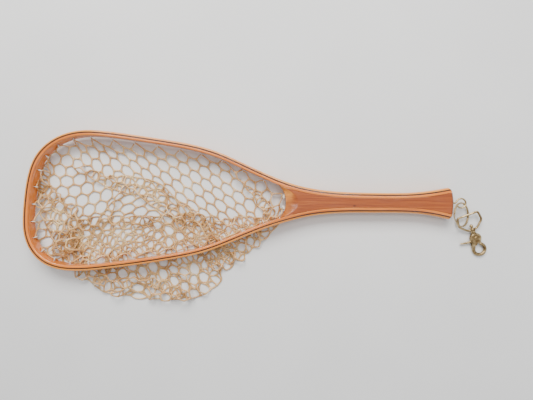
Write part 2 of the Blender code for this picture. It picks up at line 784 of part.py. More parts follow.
def bow(angle, radius=BOW_R, z=0.0):
    """A point round the hook's bow, by degrees from the rivet's side, towards +X."""
    a = math.radians(angle)
    return (radius * math.sin(a), -BOW_AT + radius * math.cos(a), z)


def disc_outline(radius, count=24, low=0, high=360):
    return [(radius * math.cos(math.radians(a)), radius * math.sin(math.radians(a)))
            for a in np.linspace(low, high, count, endpoint=high - low < 359)[: count]]


# snap body: head, collar, palm and hook, with a slot for the gate
head = cylinder("head", HEAD_R, HEAD_T, Matrix.Identity(4), 24, TOOLS)
mod = head.modifiers.new("edge", "BEVEL")
mod.width = 0.9 * MM
mod.segments = 2
mod.limit_method = "ANGLE"
mod.angle_limit = math.radians(60)
collar = cylinder("collar", 3.4, 5.2, Matrix.Translation((0, 9.0 * MM, 0)) @ Matrix.Rotation(math.radians(-90), 4, "X"), 12, TOOLS, radius2=3.0)
palm = as_mesh(plate("palm", [(-8.0, 1.0), (-9.1, -5.0), (-9.9, -10.0), (-10.9, -14.6), (-6.9, -14.9),
                               (-4.6, -12.4), (-1.6, -10.9), (0.5, -8.3), (4.5, -6.2), (6.0, -2.0)], 5.6, TOOLS))
hook_angles = np.linspace(-34, HOOK_TO - 360, 17)
hook = as_mesh(wire("hook", [bow(a) for a in hook_angles], BOW_WIRE, TOOLS, resolution=2))
slot_outline = [(-15.0, 1.2), (-6.6, 0.4)]
slot_outline += disc_outline(6.7, 12, 176, 4)
slot_outline += [(9.9, -1.0)] + [(9.7 * math.cos(math.radians(a)), 9.7 * math.sin(math.radians(a))) for a in (-20, -35, -50, -65, -80, -95, -110)]
slot_outline += [(13.6 * math.cos(math.radians(a)), 13.6 * math.sin(math.radians(a))) for a in (-126, -140, -152, -164)]
slot = as_mesh(plate("slot", slot_outline, SLOT_T, TOOLS))
rivet_hole = cylinder("rivet_hole", RIVET_R + 0.12, 12, Matrix.Identity(4), 14, TOOLS)
neck_bore = cylinder("neck_bore", STUD_R + 0.15, 8, Matrix.Translation((0, 11.4 * MM, 0)) @ Matrix.Rotation(math.radians(-90), 4, "X"), 10, TOOLS)
snap_body = joined([head, collar, palm, hook], "snap_body", M_BRASS, [slot, rivet_hole, neck_bore])
seat(snap_body, snap_swivel, snap_frame)

# gate: hub, neck, lever and the moving side of the bow, in one piece
hub = as_mesh(plate("hub", disc_outline(6.2, 22), PLATE_T, TOOLS))
lever = as_mesh(plate("lever", [(-2.0, 3.6), (-4.8, 0.3), (-9.1, -1.3), (-17.0, -0.9), (-24.6, 0.1), (-25.2, -0.7),
                                 (-24.6, -1.5), (-17.0, -3.4), (-9.1, -4.9), (-4.6, -4.4), (-1.0, -5.4)][::-1], PLATE_T - 0.02, TOOLS))
gate_neck = as_mesh(plate("gate_neck", [(-0.5, -4.8), (2.4, -8.8), (3.3, -11.2), (5.2, -11.6), (6.3, -9.6), (5.4, -3.0)], PLATE_T - 0.04, TOOLS))
arm = as_mesh(wire("arm", [bow(a) for a in np.linspace(GATE_FROM, GATE_TO, 10)], GATE_WIRE, TOOLS, resolution=2))
pocket = cylinder("pocket", 4.2, 4.0, Matrix.Translation((0, 0, 1.5 * MM)), 16, TOOLS)
hub_hole = cylinder("hub_hole", RIVET_R + 0.12, 8, Matrix.Identity(4), 14, TOOLS)
window = as_mesh(plate("window", [(0.0, 0.0), (5.6, 7.0), (0.0, 9.0), (-5.6, 7.0)], 4.0, TOOLS, z=1.5))
slit = as_mesh(plate("slit", [(-3.0, -1.1), (-5.7, -1.1), (-5.7, -2.3), (-3.0, -2.3)], 4.0, TOOLS, z=1.5))
trigger_gate = joined([hub, lever, gate_neck, arm], "trigger_gate", M_BRASS, [hub_hole, pocket, window, slit])
seat(trigger_gate, gate_pivot, snap_frame)

rim = HEAD_T / 2 + 0.1
gate_rivet = turned("gate_rivet", [
    (0.0, rim + 0.8), (1.5, rim + 0.75), (2.6, rim + 0.45), (2.9, rim), (RIVET_R, rim),
    (RIVET_R, -rim), (2.9, -rim), (2.6, -rim - 0.45), (1.5, -rim - 0.75), (0.0, -rim - 0.8)], mat=M_BRASS)
seat(gate_rivet, snap_swivel, snap_frame)


def gate_spring():
    coil, rise, low = 3.15, 0.62, -0.12
    points = [(-5.2, -1.7, low), (-4.0, -1.7, low)]
    first = 208.0
    for a in np.linspace(0, 602, 38):
        angle = math.radians(first + a)
        points.append((coil * math.cos(angle), coil * math.sin(angle), low + rise * a / 360))
    end = low + rise * 602 / 360
    points += [(-0.35, 4.6, end), (-0.35, 6.2, end)]
    obj = wire("gate_spring", points, 0.25, mat=M_STEEL, resolution=0)
    seat(obj, snap_swivel, snap_frame)
    return obj


gate_spring()
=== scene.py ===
"""Looks of the landing net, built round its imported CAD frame.

Every length below is in millimetres of the row frame until a mesh is made, when MM turns
it into metres. +X runs along the handle to the butt, +Z is up off the table.
"""

import math

import bmesh
import bpy
import numpy as np
from mathutils import Matrix, Vector


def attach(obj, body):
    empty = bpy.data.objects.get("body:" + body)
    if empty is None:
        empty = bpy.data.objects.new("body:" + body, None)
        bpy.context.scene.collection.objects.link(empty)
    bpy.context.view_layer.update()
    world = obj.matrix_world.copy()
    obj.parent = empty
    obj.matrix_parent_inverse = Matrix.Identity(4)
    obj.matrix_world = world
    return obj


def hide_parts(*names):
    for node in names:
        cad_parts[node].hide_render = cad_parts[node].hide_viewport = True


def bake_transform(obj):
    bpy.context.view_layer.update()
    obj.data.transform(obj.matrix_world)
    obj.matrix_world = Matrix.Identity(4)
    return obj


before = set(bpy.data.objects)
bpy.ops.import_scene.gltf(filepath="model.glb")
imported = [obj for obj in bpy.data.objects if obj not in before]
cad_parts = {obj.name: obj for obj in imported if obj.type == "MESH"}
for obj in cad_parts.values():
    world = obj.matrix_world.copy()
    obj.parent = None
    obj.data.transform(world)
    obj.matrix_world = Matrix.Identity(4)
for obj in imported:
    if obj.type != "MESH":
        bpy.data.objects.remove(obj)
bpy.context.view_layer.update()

MM = 0.001
SCENE = bpy.context.scene

# ---------------------------------------------------------------- driving dimensions
HEIGHT = 22.0            # hoop and handle, underside to top
OUTER_T = 2.8            # outside ply
MIDDLE_T = 1.8           # dark ply
INNER_T = 3.6            # inside ply
GLUE = 0.1               # glue line between two plies
CORE_GAP = 0.3           # glue line between the inside ply and the handle core
LAMINATE = OUTER_T + MIDDLE_T + INNER_T + 2 * GLUE
HOOP_EDGE_R = 2.3        # rounding of the hoop's outer edges
GRIP_EDGE_R = 5.5        # rounding of the grip's edges
INSIDE_EDGE_R = 1.9      # rounding of the hoop's inside edges
BUTT_X = 129.5           # end of the handle on its centre line
BUTT_CORNER_R = 7.0      # plan rounding of the butt's corners
BUTT_HALF_W = 24.6
BUTT_CROWN = 0.0055      # the butt's end bows out by this times y squared
BUTT_EDGE_R = 6.5        # rounding of the butt's top and bottom edges
THROAT_R = 37.2          # hollow end of the core, seen from the bag
THROAT_X = -127.9        # deepest point of that hollow
SCOOP_LENGTH = 19.5      # bevel from the core's top face down to the throat
SCOOP_DEPTH = 5.5

GROOVE_W = 2.2           # lacing groove round the hoop's outside
GROOVE_DEPTH = 0.9
CORD_R = 0.75
CORD_OUT = 0.2           # the cord's centre stands this far outside the hoop
BIGHT_HALF = 0.85        # half the distance between a loop's two legs
BIGHT_REACH = 2.2        # a loop stands this far inside the hoop
HOLE_R = 2.1
SIDE_PITCH = 36.0        # lacing holes along the sides
HEAD_PITCH = 28.5        # lacing holes round the head
KNOT_Y = 12.5            # where the cord's ends leave the throat
KNOT_OUT = 4.5

BAG_CLEAR = 13.6         # bag rim to the hoop's outside
BAG_RIM_Z = 10.5
BAG_WALL = 1.6
BAG_POINTS = 48

EYE = (143.9, 1.0, 12.2)     # screw eye
EYE_R, EYE_WIRE = 7.2, 1.3
RING = (145.0, -16.8, 11.6)  # split ring
RING_R, RING_RADIAL, RING_AXIAL, RING_PITCH = 18.3, 2.0, 1.2, 1.35
BAR = (157.1, -17.5, 6.2)    # middle of the bail's bar
BAIL_WIRE = 1.65
BOSS = (22.0, 27.0, 3.5)     # along the swivel's axis from the bar: start, end, radius
STUD_BALL, STUD_BALL_AT, STUD_R, STUD_END = 2.75, 18.6, 1.35, 31.2
RIVET_AT = 39.0              # rivet's distance from the bar
HEAD_R, HEAD_T = 8.4, 6.4
SLOT_T, PLATE_T = 3.4, 3.0
BOW_AT, BOW_R, BOW_WIRE = 18.5, 8.85, 2.5
GATE_WIRE = 2.4
GATE_FROM, GATE_TO, HOOK_TO = 27.0, 138.0, 142.5   # degrees round the bow
RIVET_R = 2.0

# outside of the hoop and handle, from one corner of the butt round to the other
OUTLINE = (
    (126.0, 25.6), (100.0, 20.8), (72.0, 17.3), (38.0, 15.8), (0.0, 15.8),
    (-46.0, 17.0), (-83.0, 20.7), (-119.5, 28.7), (-156.0, 42.3), (-193.0, 58.7),
    (-230.0, 74.8), (-270.0, 86.5), (-322.0, 95.3), (-377.0, 103.0), (-416.0, 107.1),
    (-437.0, 107.6), (-458.0, 104.8), (-480.0, 97.0), (-501.0, 82.2), (-515.0, 64.0),
    (-523.5, 41.0), (-529.0, 9.0), (-531.3, -22.0), (-530.8, -45.0), (-526.0, -65.0),
    (-515.5, -83.5), (-498.0, -98.5), (-477.0, -106.2), (-448.0, -108.6),
    (-400.0, -104.4), (-350.0, -97.4), (-300.0, -88.9), (-259.0, -79.9),
    (-228.5, -69.3), (-190.0, -53.1), (-158.0, -40.3), (-128.0, -30.6),
    (-97.5, -22.8), (-66.0, -18.1), (-30.0, -16.0), (10.0, -15.6), (50.0, -15.4),
    (86.0, -17.4), (106.0, -20.6), (126.0, -25.2),
)
# edge of the bag where it spills out under the hoop
LOBE = (
    (-478.0, -100.0), (-463.0, -116.0), (-430.0, -142.0), (-382.0, -153.5),
    (-330.0, -156.5), (-286.0, -156.0), (-250.0, -148.0), (-215.0, -132.5),
    (-190.0, -114.5), (-164.0, -88.0), (-146.0, -60.0), (-138.0, -36.0),
)


# ---------------------------------------------------------------- small maths
def smooth(x, low, high):
    t = min(1.0, max(0.0, (x - low) / (high - low)))
    return t * t * (3 - 2 * t)


def spline(points, count):
    """Natural cubic spline through the points, spaced by chord length."""
    p = np.array(points, float)
    t = np.concatenate([[0], np.cumsum(np.hypot(*np.diff(p, axis=0).T))])
    n, h = len(p), np.diff(t)
    a, b = np.eye(n), np.zeros((n, 2))
    for i in range(1, n - 1):
        a[i, i - 1 : i + 2] = h[i - 1], 2 * (h[i - 1] + h[i]), h[i]
        b[i] = 6 * ((p[i + 1] - p[i]) / h[i] - (p[i] - p[i - 1]) / h[i - 1])
    m = np.linalg.solve(a, b)
    x = np.linspace(0, t[-1], count)
    i = np.clip(np.searchsorted(t, x) - 1, 0, n - 2)
    u, v, w = (t[i + 1] - x)[:, None], (x - t[i])[:, None], h[i][:, None]
    return (
        m[i] * u**3 / (6 * w) + m[i + 1] * v**3 / (6 * w)
        + (p[i] / w - m[i] * w / 6) * u + (p[i + 1] / w - m[i + 1] * w / 6) * v
    )


class Path:
    """The outline by arc length, with the normal that points into the wood."""

    def __init__(self):
        self.p = spline(OUTLINE, 6000)
        self.s = np.concatenate([[0], np.cumsum(np.hypot(*np.diff(self.p, axis=0).T))])
        tangent = np.gradient(self.p, self.s, axis=0)
        tangent /= np.linalg.norm(tangent, axis=1)[:, None]
        self.t = tangent
        turn = np.gradient(np.unwrap(np.arctan2(tangent[:, 1], tangent[:, 0])), self.s)
        kernel = np.ones(81) / 81
        self.k = np.convolve(np.pad(turn, 40, mode="edge"), kernel, "valid")

    def at(self, s, d=0.0):
        """The point at arc length s, d inside the outside surface."""
        x, y = (np.interp(s, self.s, self.p[:, i]) for i in (0, 1))
        tx, ty = (np.interp(s, self.s, self.t[:, i]) for i in (0, 1))
        size = math.hypot(tx, ty)
        return x - ty / size * d, y + tx / size * d

    def s_of_x(self, x, far):
        half = len(self.s) // 2
        part = slice(half, None) if far else slice(0, half)
        xs, ss = self.p[part, 0], self.s[part]
        order = np.argsort(xs)
        return float(np.interp(x, xs[order], ss[order]))


PATH = Path()
S_NEAR = PATH.s_of_x(-125.0, False)   # ends of the lacing groove
S_FAR = PATH.s_of_x(-125.0, True)


def stations():
    """Arc lengths that follow the outline to within a fifth of a millimetre."""
    step = np.clip(np.sqrt(8 * 0.2 / np.maximum(np.abs(PATH.k), 1e-5)), 5, 26)
    count = np.concatenate([[0], np.cumsum(np.diff(PATH.s) / step[1:])])
    n = int(math.ceil(count[-1]))
    even = [float(np.interp(i * count[-1] / n, count, PATH.s)) for i in range(n + 1)]
    # the groove starts and stops between these
    extra = [S_NEAR - 14, S_NEAR - 4, S_FAR + 4, S_FAR + 14]
    even = [s for s in even if min(abs(s - e) for e in extra) > 5]
    return sorted(even + extra)


STATIONS = stations()


def hole_places():
    """Arc lengths of the lacing holes, closer together round the head."""
    first, last = S_NEAR + 36.0, S_FAR - 36.0
    s = np.linspace(first, last, 1500)
    x = np.interp(s, PATH.s, PATH.p[:, 0])
    head = np.array([smooth(-v, 425, 455) for v in x])
    pitch = SIDE_PITCH + (HEAD_PITCH - SIDE_PITCH) * head
    count = np.concatenate([[0], np.cumsum(np.diff(s) / pitch[1:])])
    n = int(round(count[-1]))
    return [float(np.interp(i * count[-1] / n, count, s)) for i in range(n + 1)]


HOLES = hole_places()


def edge_drop(d, r):
    """How far a rounded edge of radius r falls at d from its side."""
    if d >= r:
        return 0.0
    return r - math.sqrt(max(0.0, r * r - (r - d) ** 2))


def top_drop(s, d):
    """How far the wood's top face lies below HEIGHT, and its underside above 0."""
    x = PATH.at(s)[0]
    grip = smooth(x, -165, -60)
    outer = HOOP_EDGE_R + (GRIP_EDGE_R - HOOP_EDGE_R) * grip
    inner = INSIDE_EDGE_R * (1 - smooth(x, -165, -138))
    drop = edge_drop(d, outer)
    if inner > 0.05:
        drop = max(drop, edge_drop(LAMINATE - d, inner))
    return drop


def butt_end(y):
    """X of the handle's end at this y."""
    over = min(abs(y), BUTT_HALF_W) - (BUTT_HALF_W - BUTT_CORNER_R)
    corner = edge_drop(BUTT_CORNER_R - over, BUTT_CORNER_R) if over > 0 else 0.0
    return BUTT_X - BUTT_CROWN * y * y - corner


def throat(y):
    return THROAT_X - THROAT_R + math.sqrt(THROAT_R**2 - min(abs(y), 27.5) ** 2)


# ---------------------------------------------------------------- mesh tools
def add(name, mesh, mat=None):
    obj = bpy.data.objects.new(name, mesh)
    SCENE.collection.objects.link(obj)
    if mat is not None:
        mesh.materials.clear()
        mesh.materials.append(mat)
    return obj


def raw_mesh(name, points, faces, repair=True):
    """A mesh in metres from points in millimetres."""
    mesh = bpy.data.meshes.new(name)
    mesh.from_pydata([tuple(p) for p in np.asarray(points, float) * MM], [], [tuple(f) for f in faces])
    if repair:
        made = bmesh.new()
        made.from_mesh(mesh)
        bmesh.ops.recalc_face_normals(made, faces=made.faces)
        made.to_mesh(mesh)
        made.free()
    return mesh


def soft_shade(obj, angle=40):
    obj.data.shade_smooth()
    if angle:
        obj.data.set_sharp_from_angle(angle=math.radians(angle))
    return obj


def bake(obj):
    """Applies the modifiers, so the piece is one plain mesh."""
    bpy.context.view_layer.update()
    graph = bpy.context.evaluated_depsgraph_get()
    mesh = bpy.data.meshes.new_from_object(obj.evaluated_get(graph))
    old = obj.data
    obj.modifiers.clear()
    obj.data = mesh
    mesh.name = old.name
    bpy.data.meshes.remove(old)
    return obj


def cut(obj, mesh, operation="DIFFERENCE", keep=False):
    """Cuts or joins obj with another mesh and applies it."""
    other = mesh if isinstance(mesh, bpy.types.Object) else add("tool", mesh)
    mod = obj.modifiers.new("cut", "BOOLEAN")
    mod.operation = operation
    mod.solver = "EXACT"
    mod.object = other
    bake(obj)
    if not keep:
        bpy.data.objects.remove(other, do_unlink=True)
    return obj


def tidy(obj, weld=1.5e-6):
    made = bmesh.new()
    made.from_mesh(obj.data)
    bmesh.ops.remove_doubles(made, verts=made.verts, dist=weld)
    bmesh.ops.dissolve_degenerate(made, dist=1e-7, edges=made.edges)
    loose = [v for v in made.verts if not v.link_faces]
    bmesh.ops.delete(made, geom=loose, context="VERTS")
    made.to_mesh(obj.data)
    made.free()
    return obj


def curve_through(points, step, closed=False):
    """Points every step mm along a centripetal Catmull-Rom curve."""
    p = np.asarray(points, float)
    if closed:
        q = np.vstack([p[-1], p, p[0], p[1]])
    else:
        q = np.vstack([2 * p[0] - p[1], p, 2 * p[-1] - p[-2]])
    out = []
    for i in range(1, len(q) - 2):
        a, b, c, d = q[i - 1], q[i], q[i + 1], q[i + 2]
        t = np.cumsum([0, max(1e-6, np.linalg.norm(b - a)) ** 0.5, max(1e-6, np.linalg.norm(c - b)) ** 0.5,
                       max(1e-6, np.linalg.norm(d - c)) ** 0.5])
        for x in np.linspace(t[1], t[2], 24, endpoint=False):
            a1 = a * (t[1] - x) / (t[1] - t[0]) + b * (x - t[0]) / (t[1] - t[0])
            a2 = b * (t[2] - x) / (t[2] - t[1]) + c * (x - t[1]) / (t[2] - t[1])
            a3 = c * (t[3] - x) / (t[3] - t[2]) + d * (x - t[2]) / (t[3] - t[2])
            b1 = a1 * (t[2] - x) / (t[2] - t[0]) + a2 * (x - t[0]) / (t[2] - t[0])
            b2 = a2 * (t[3] - x) / (t[3] - t[1]) + a3 * (x - t[1]) / (t[3] - t[1])
            out.append(b1 * (t[2] - x) / (t[2] - t[1]) + b2 * (x - t[1]) / (t[2] - t[1]))
    out.append(q[-2])
    out = np.array(out)
    return even(out, step, closed)


def even(points, step, closed=False):
    """The same line with points step mm apart."""
    p = np.asarray(points, float)
    s = np.concatenate([[0], np.cumsum(np.linalg.norm(np.diff(p, axis=0), axis=1))])
    n = max(2, int(round(s[-1] / step)))
    t = np.linspace(0, s[-1], n + 1)
    if closed:
        t = t[:-1]
    return np.stack([np.interp(t, s, p[:, i]) for i in range(3)], 1)


def unit(v):
    v = np.asarray(v, float)
    return v / np.maximum(1e-12, np.linalg.norm(v, axis=-1, keepdims=True))


def frames(p, closed=False, up=None):
    """Tangents and two normals that turn as little as possible along the line."""
    if closed:
        t = unit(np.roll(p, -1, 0) - np.roll(p, 1, 0))
    else:
        t = unit(np.gradient(p, axis=0))
    n = np.zeros_like(p)
    start = np.array(up if up is not None else (0.0, 0.0, 1.0))
    if abs(start @ t[0]) > 0.9:
        start = np.array((1.0, 0.0, 0.0))
    n[0] = unit(start - t[0] * (start @ t[0]))
    for i in range(1, len(p)):
        v = n[i - 1] - t[i] * (n[i - 1] @ t[i])
        n[i] = v / max(1e-9, np.linalg.norm(v))
    if closed:
        last = n[-1] - t[0] * (n[-1] @ t[0])
        b = np.cross(t[0], n[0])
        miss = math.atan2(last @ b, last @ n[0])
        for i in range(len(p)):
            a = -miss * i / len(p)
            n[i] = n[i] * math.cos(a) + np.cross(t[i], n[i]) * math.sin(a)
    return t, n, np.cross(t, n)


def tube(points, radius, sides=16, closed=False, lobes=0, lobe_depth=0.0, lay=3.0, round_ends=True, up=None):
    """Points and faces of a round tube. Lobes give it the twist of laid cord."""
    p = np.asarray(points, float)
    t, n, b = frames(p, closed, up)
    r = np.full(len(p), radius) if np.isscalar(radius) else np.asarray(radius, float)
    run = np.concatenate([[0], np.cumsum(np.linalg.norm(np.diff(p, axis=0), axis=1))])
    if round_ends and not closed:
        caps, cap_r = [], []
        for share in (0.98, 0.82, 0.55, 0.25):
            caps.append(share)
            cap_r.append(math.sqrt(1 - share * share))
        head = [p[0] - t[0] * r[0] * c for c in caps]
        tail = [p[-1] + t[-1] * r[-1] * c for c in caps[::-1]]
        p = np.vstack([head, p, tail])
        run = np.concatenate([[run[0] - r[0] * c for c in caps], run, [run[-1] + r[-1] * c for c in caps[::-1]]])
        n = np.vstack([np.repeat(n[:1], 4, 0), n, np.repeat(n[-1:], 4, 0)])
        b = np.vstack([np.repeat(b[:1], 4, 0), b, np.repeat(b[-1:], 4, 0)])
        r = np.concatenate([r[0] * np.array(cap_r), r, r[-1] * np.array(cap_r[::-1])])
    a = np.arange(sides) * 2 * math.pi / sides
    rr = np.repeat(r[:, None], sides, 1)
    if lobes:
        twist = 2 * math.pi * run[:, None] / lay
        rr = rr * (1 - lobe_depth + lobe_depth * np.abs(np.cos(lobes / 2 * (a[None] - twist / lobes * 1.0 * 2))))
    v = p[:, None] + rr[..., None] * (np.cos(a)[None, :, None] * n[:, None] + np.sin(a)[None, :, None] * b[:, None])
    m = len(p)
    i = np.arange(m if closed else m - 1)
    j = np.arange(sides)
    gi, gj = np.meshgrid(i, j, indexing="ij")
    k = (gj + 1) % sides
    i2 = (gi + 1) % m
    faces = np.stack([gi * sides + gj, gi * sides + k, i2 * sides + k, i2 * sides + gj], -1).reshape(-1, 4).tolist()
    if not closed:
        faces.append(list(range(sides))[::-1])
        faces.append([(m - 1) * sides + q for q in range(sides)])
    return v.reshape(-1, 3), faces


def lathe(profile, sides=48):
    """Points and faces of a solid turned about Z. The profile starts and ends on the axis."""
    prof = [(max(0.0, r), z) for r, z in profile]
    points, faces, rows = [], [], []
    for r, z in prof:
        if r < 1e-6:
            rows.append([len(points)])
            points.append((0, 0, z))
        else:
            rows.append(list(range(len(points), len(points) + sides)))
            points += [(r * math.cos(2 * math.pi * i / sides), r * math.sin(2 * math.pi * i / sides), z) for i in range(sides)]
    for a, b in zip(rows, rows[1:]):
        for i in range(sides):
            j = (i + 1) % sides
            if len(a) == 1:
                faces.append((a[0], b[j], b[i]))
            elif len(b) == 1:
                faces.append((a[i], a[j], b[0]))
            else:
                faces.append((a[i], a[j], b[j], b[i]))
    return points, faces


def prism(outline, low, high):
    """Points and faces of a flat outline between two heights."""
    n = len(outline)
    points = [(x, y, low) for x, y in outline] + [(x, y, high) for x, y in outline]
    faces = [tuple(range(n))[::-1], tuple(range(n, 2 * n))]
    faces += [(i, (i + 1) % n, n + (i + 1) % n, n + i) for i in range(n)]
    return points, faces


def rod(a, b, radius, sides=32):
    """Points and faces of a straight round cutter from a to b."""
    a, b = np.array(a, float), np.array(b, float)
    z = unit(b - a)
    x = unit(np.cross((0, 0, 1) if abs(z[2]) < 0.9 else (1, 0, 0), z))
    y = np.cross(z, x)
    q = np.arange(sides) * 2 * math.pi / sides
    ring = radius * (np.cos(q)[:, None] * x + np.sin(q)[:, None] * y)
    points = np.vstack([a + ring, b + ring])
    faces = [tuple(range(sides))[::-1], tuple(range(sides, 2 * sides))]
    faces += [(i, (i + 1) % sides, sides + (i + 1) % sides, sides + i) for i in range(sides)]
    return points, faces


def merged(parts):
    """Several (points, faces) as one."""
    points, faces, base = [], [], 0
    for p, f in parts:
        p = np.asarray(p, float).reshape(-1, 3)
        points.append(p)
        faces += [[base + i for i in face] for face in f]
        base += len(p)
    return np.vstack(points), faces


def frame_matrix(x_axis, y_axis, origin):
    """World matrix of a local frame, in metres, from its axes and its origin in mm."""
    x, y = Vector(x_axis).normalized(), Vector(y_axis).normalized()
    z = x.cross(y)
    rot = Matrix((x, y, z)).transposed().to_4x4()
    return Matrix.Translation(Vector(origin) * MM) @ rot


def finish_piece(obj, body, slot, *nodes, angle=40):
    soft_shade(obj, angle)
    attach(obj, body)
    if nodes:
        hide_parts(*nodes)
    return obj


def point_attribute(obj, name, values):
    """A vector stored on each vertex, for the material."""
    made = obj.data.attributes.new(name, "FLOAT_VECTOR", "POINT")
    made.data.foreach_set("vector", np.asarray(values, np.float32).ravel())


def vertices(obj):
    co = np.zeros(len(obj.data.vertices) * 3, np.float32)
    obj.data.vertices.foreach_get("co", co)
    return co.reshape(-1, 3).astype(float) / MM


# ---------------------------------------------------------------- materials
class Graph:
    """Shorthand for a node material."""

    def __init__(self, name):
        self.mat = bpy.data.materials.new(name)
        self.mat.use_nodes = True
        self.tree = self.mat.node_tree
        self.tree.nodes.clear()
        self.out = self.add("ShaderNodeOutputMaterial")
        self.shader = self.add("ShaderNodeBsdfPrincipled")
        self.link(self.shader.outputs[0], self.out.inputs[0])

    def add(self, kind, **settings):
        node = self.tree.nodes.new(kind)
        for key, value in settings.items():
            setattr(node, key, value)
        return node

    def link(self, a, b):
        self.tree.links.new(a, b)
        return b

    def put(self, socket, value):
        if hasattr(value, "is_output"):
            self.link(value, socket)
        elif value is not None:
            socket.default_value = value

    def set(self, **inputs):
        for key, value in inputs.items():
            self.put(self.shader.inputs[key.replace("_", " ")], value)

    def attribute(self, name):
        node = self.add("ShaderNodeAttribute", attribute_name=name)
        return node.outputs["Vector"]

    def place(self):
        return self.add("ShaderNodeTexCoord").outputs["Object"]

    def scaled(self, vector, scale, offset=(0, 0, 0)):
        node = self.add("ShaderNodeMapping")
        self.link(vector, node.inputs["Vector"])
        node.inputs["Scale"].default_value = scale
        node.inputs["Location"].default_value = offset
        return node.outputs[0]

    def noise(self, vector, scale=1.0, detail=4.0, rough=0.55, distort=0.0, colour=False):
        node = self.add("ShaderNodeTexNoise")
        self.link(vector, node.inputs["Vector"])
        node.inputs["Scale"].default_value = scale
        node.inputs["Detail"].default_value = detail
        node.inputs["Roughness"].default_value = rough
        node.inputs["Distortion"].default_value = distort
        return node.outputs["Color" if colour else "Fac"]

    def wave(self, vector, scale, distort, detail=2.0, direction="Y"):
        node = self.add("ShaderNodeTexWave", wave_type="BANDS", bands_direction=direction)
        self.link(vector, node.inputs["Vector"])
        node.inputs["Scale"].default_value = scale
        node.inputs["Distortion"].default_value = distort
        node.inputs["Detail"].default_value = detail
        return node.outputs["Fac"]

    def ramp(self, value, *stops):
        node = self.add("ShaderNodeValToRGB")
        self.link(value, node.inputs[0])
        line = node.color_ramp
        while len(line.elements) < len(stops):
            line.elements.new(0.5)
        for element, (at, colour) in zip(line.elements, stops):
            element.position = at
            element.color = (*colour, 1) if len(colour) == 3 else (colour[0],) * 3 + (1,)
        return node.outputs["Color"]

    def mix(self, factor, a, b, kind="MIX"):
        node = self.add("ShaderNodeMix", data_type="RGBA", blend_type=kind)
        self.put(node.inputs[0], factor)
        for socket, value in ((node.inputs[6], a), (node.inputs[7], b)):
            self.put(socket, (*value, 1) if isinstance(value, tuple) and len(value) == 3 else value)
        return node.outputs[2]

    def math(self, kind, a, b=None, clamp=False):
        node = self.add("ShaderNodeMath", operation=kind, use_clamp=clamp)
        self.put(node.inputs[0], a)
        if b is not None:
            self.put(node.inputs[1], b)
        return node.outputs[0]

    def span(self, value, a, b, c, d):
        node = self.add("ShaderNodeMapRange")
        self.put(node.inputs[0], value)
        for socket, number in zip(node.inputs[1:5], (a, b, c, d)):
            socket.default_value = number
        return node.outputs[0]

    def vmath(self, kind, a, b=None, out=0):
        node = self.add("ShaderNodeVectorMath", operation=kind)
        self.put(node.inputs[0], a)
        if b is not None:
            self.put(node.inputs[1], b)
        return node.outputs[out]

    def bump(self, height, strength, distance, normal=None):
        node = self.add("ShaderNodeBump")
        node.inputs["Strength"].default_value = strength
        node.inputs["Distance"].default_value = distance
        self.link(height, node.inputs["Height"])
        if normal is not None:
            self.link(normal, node.inputs["Normal"])
        return node.outputs[0]


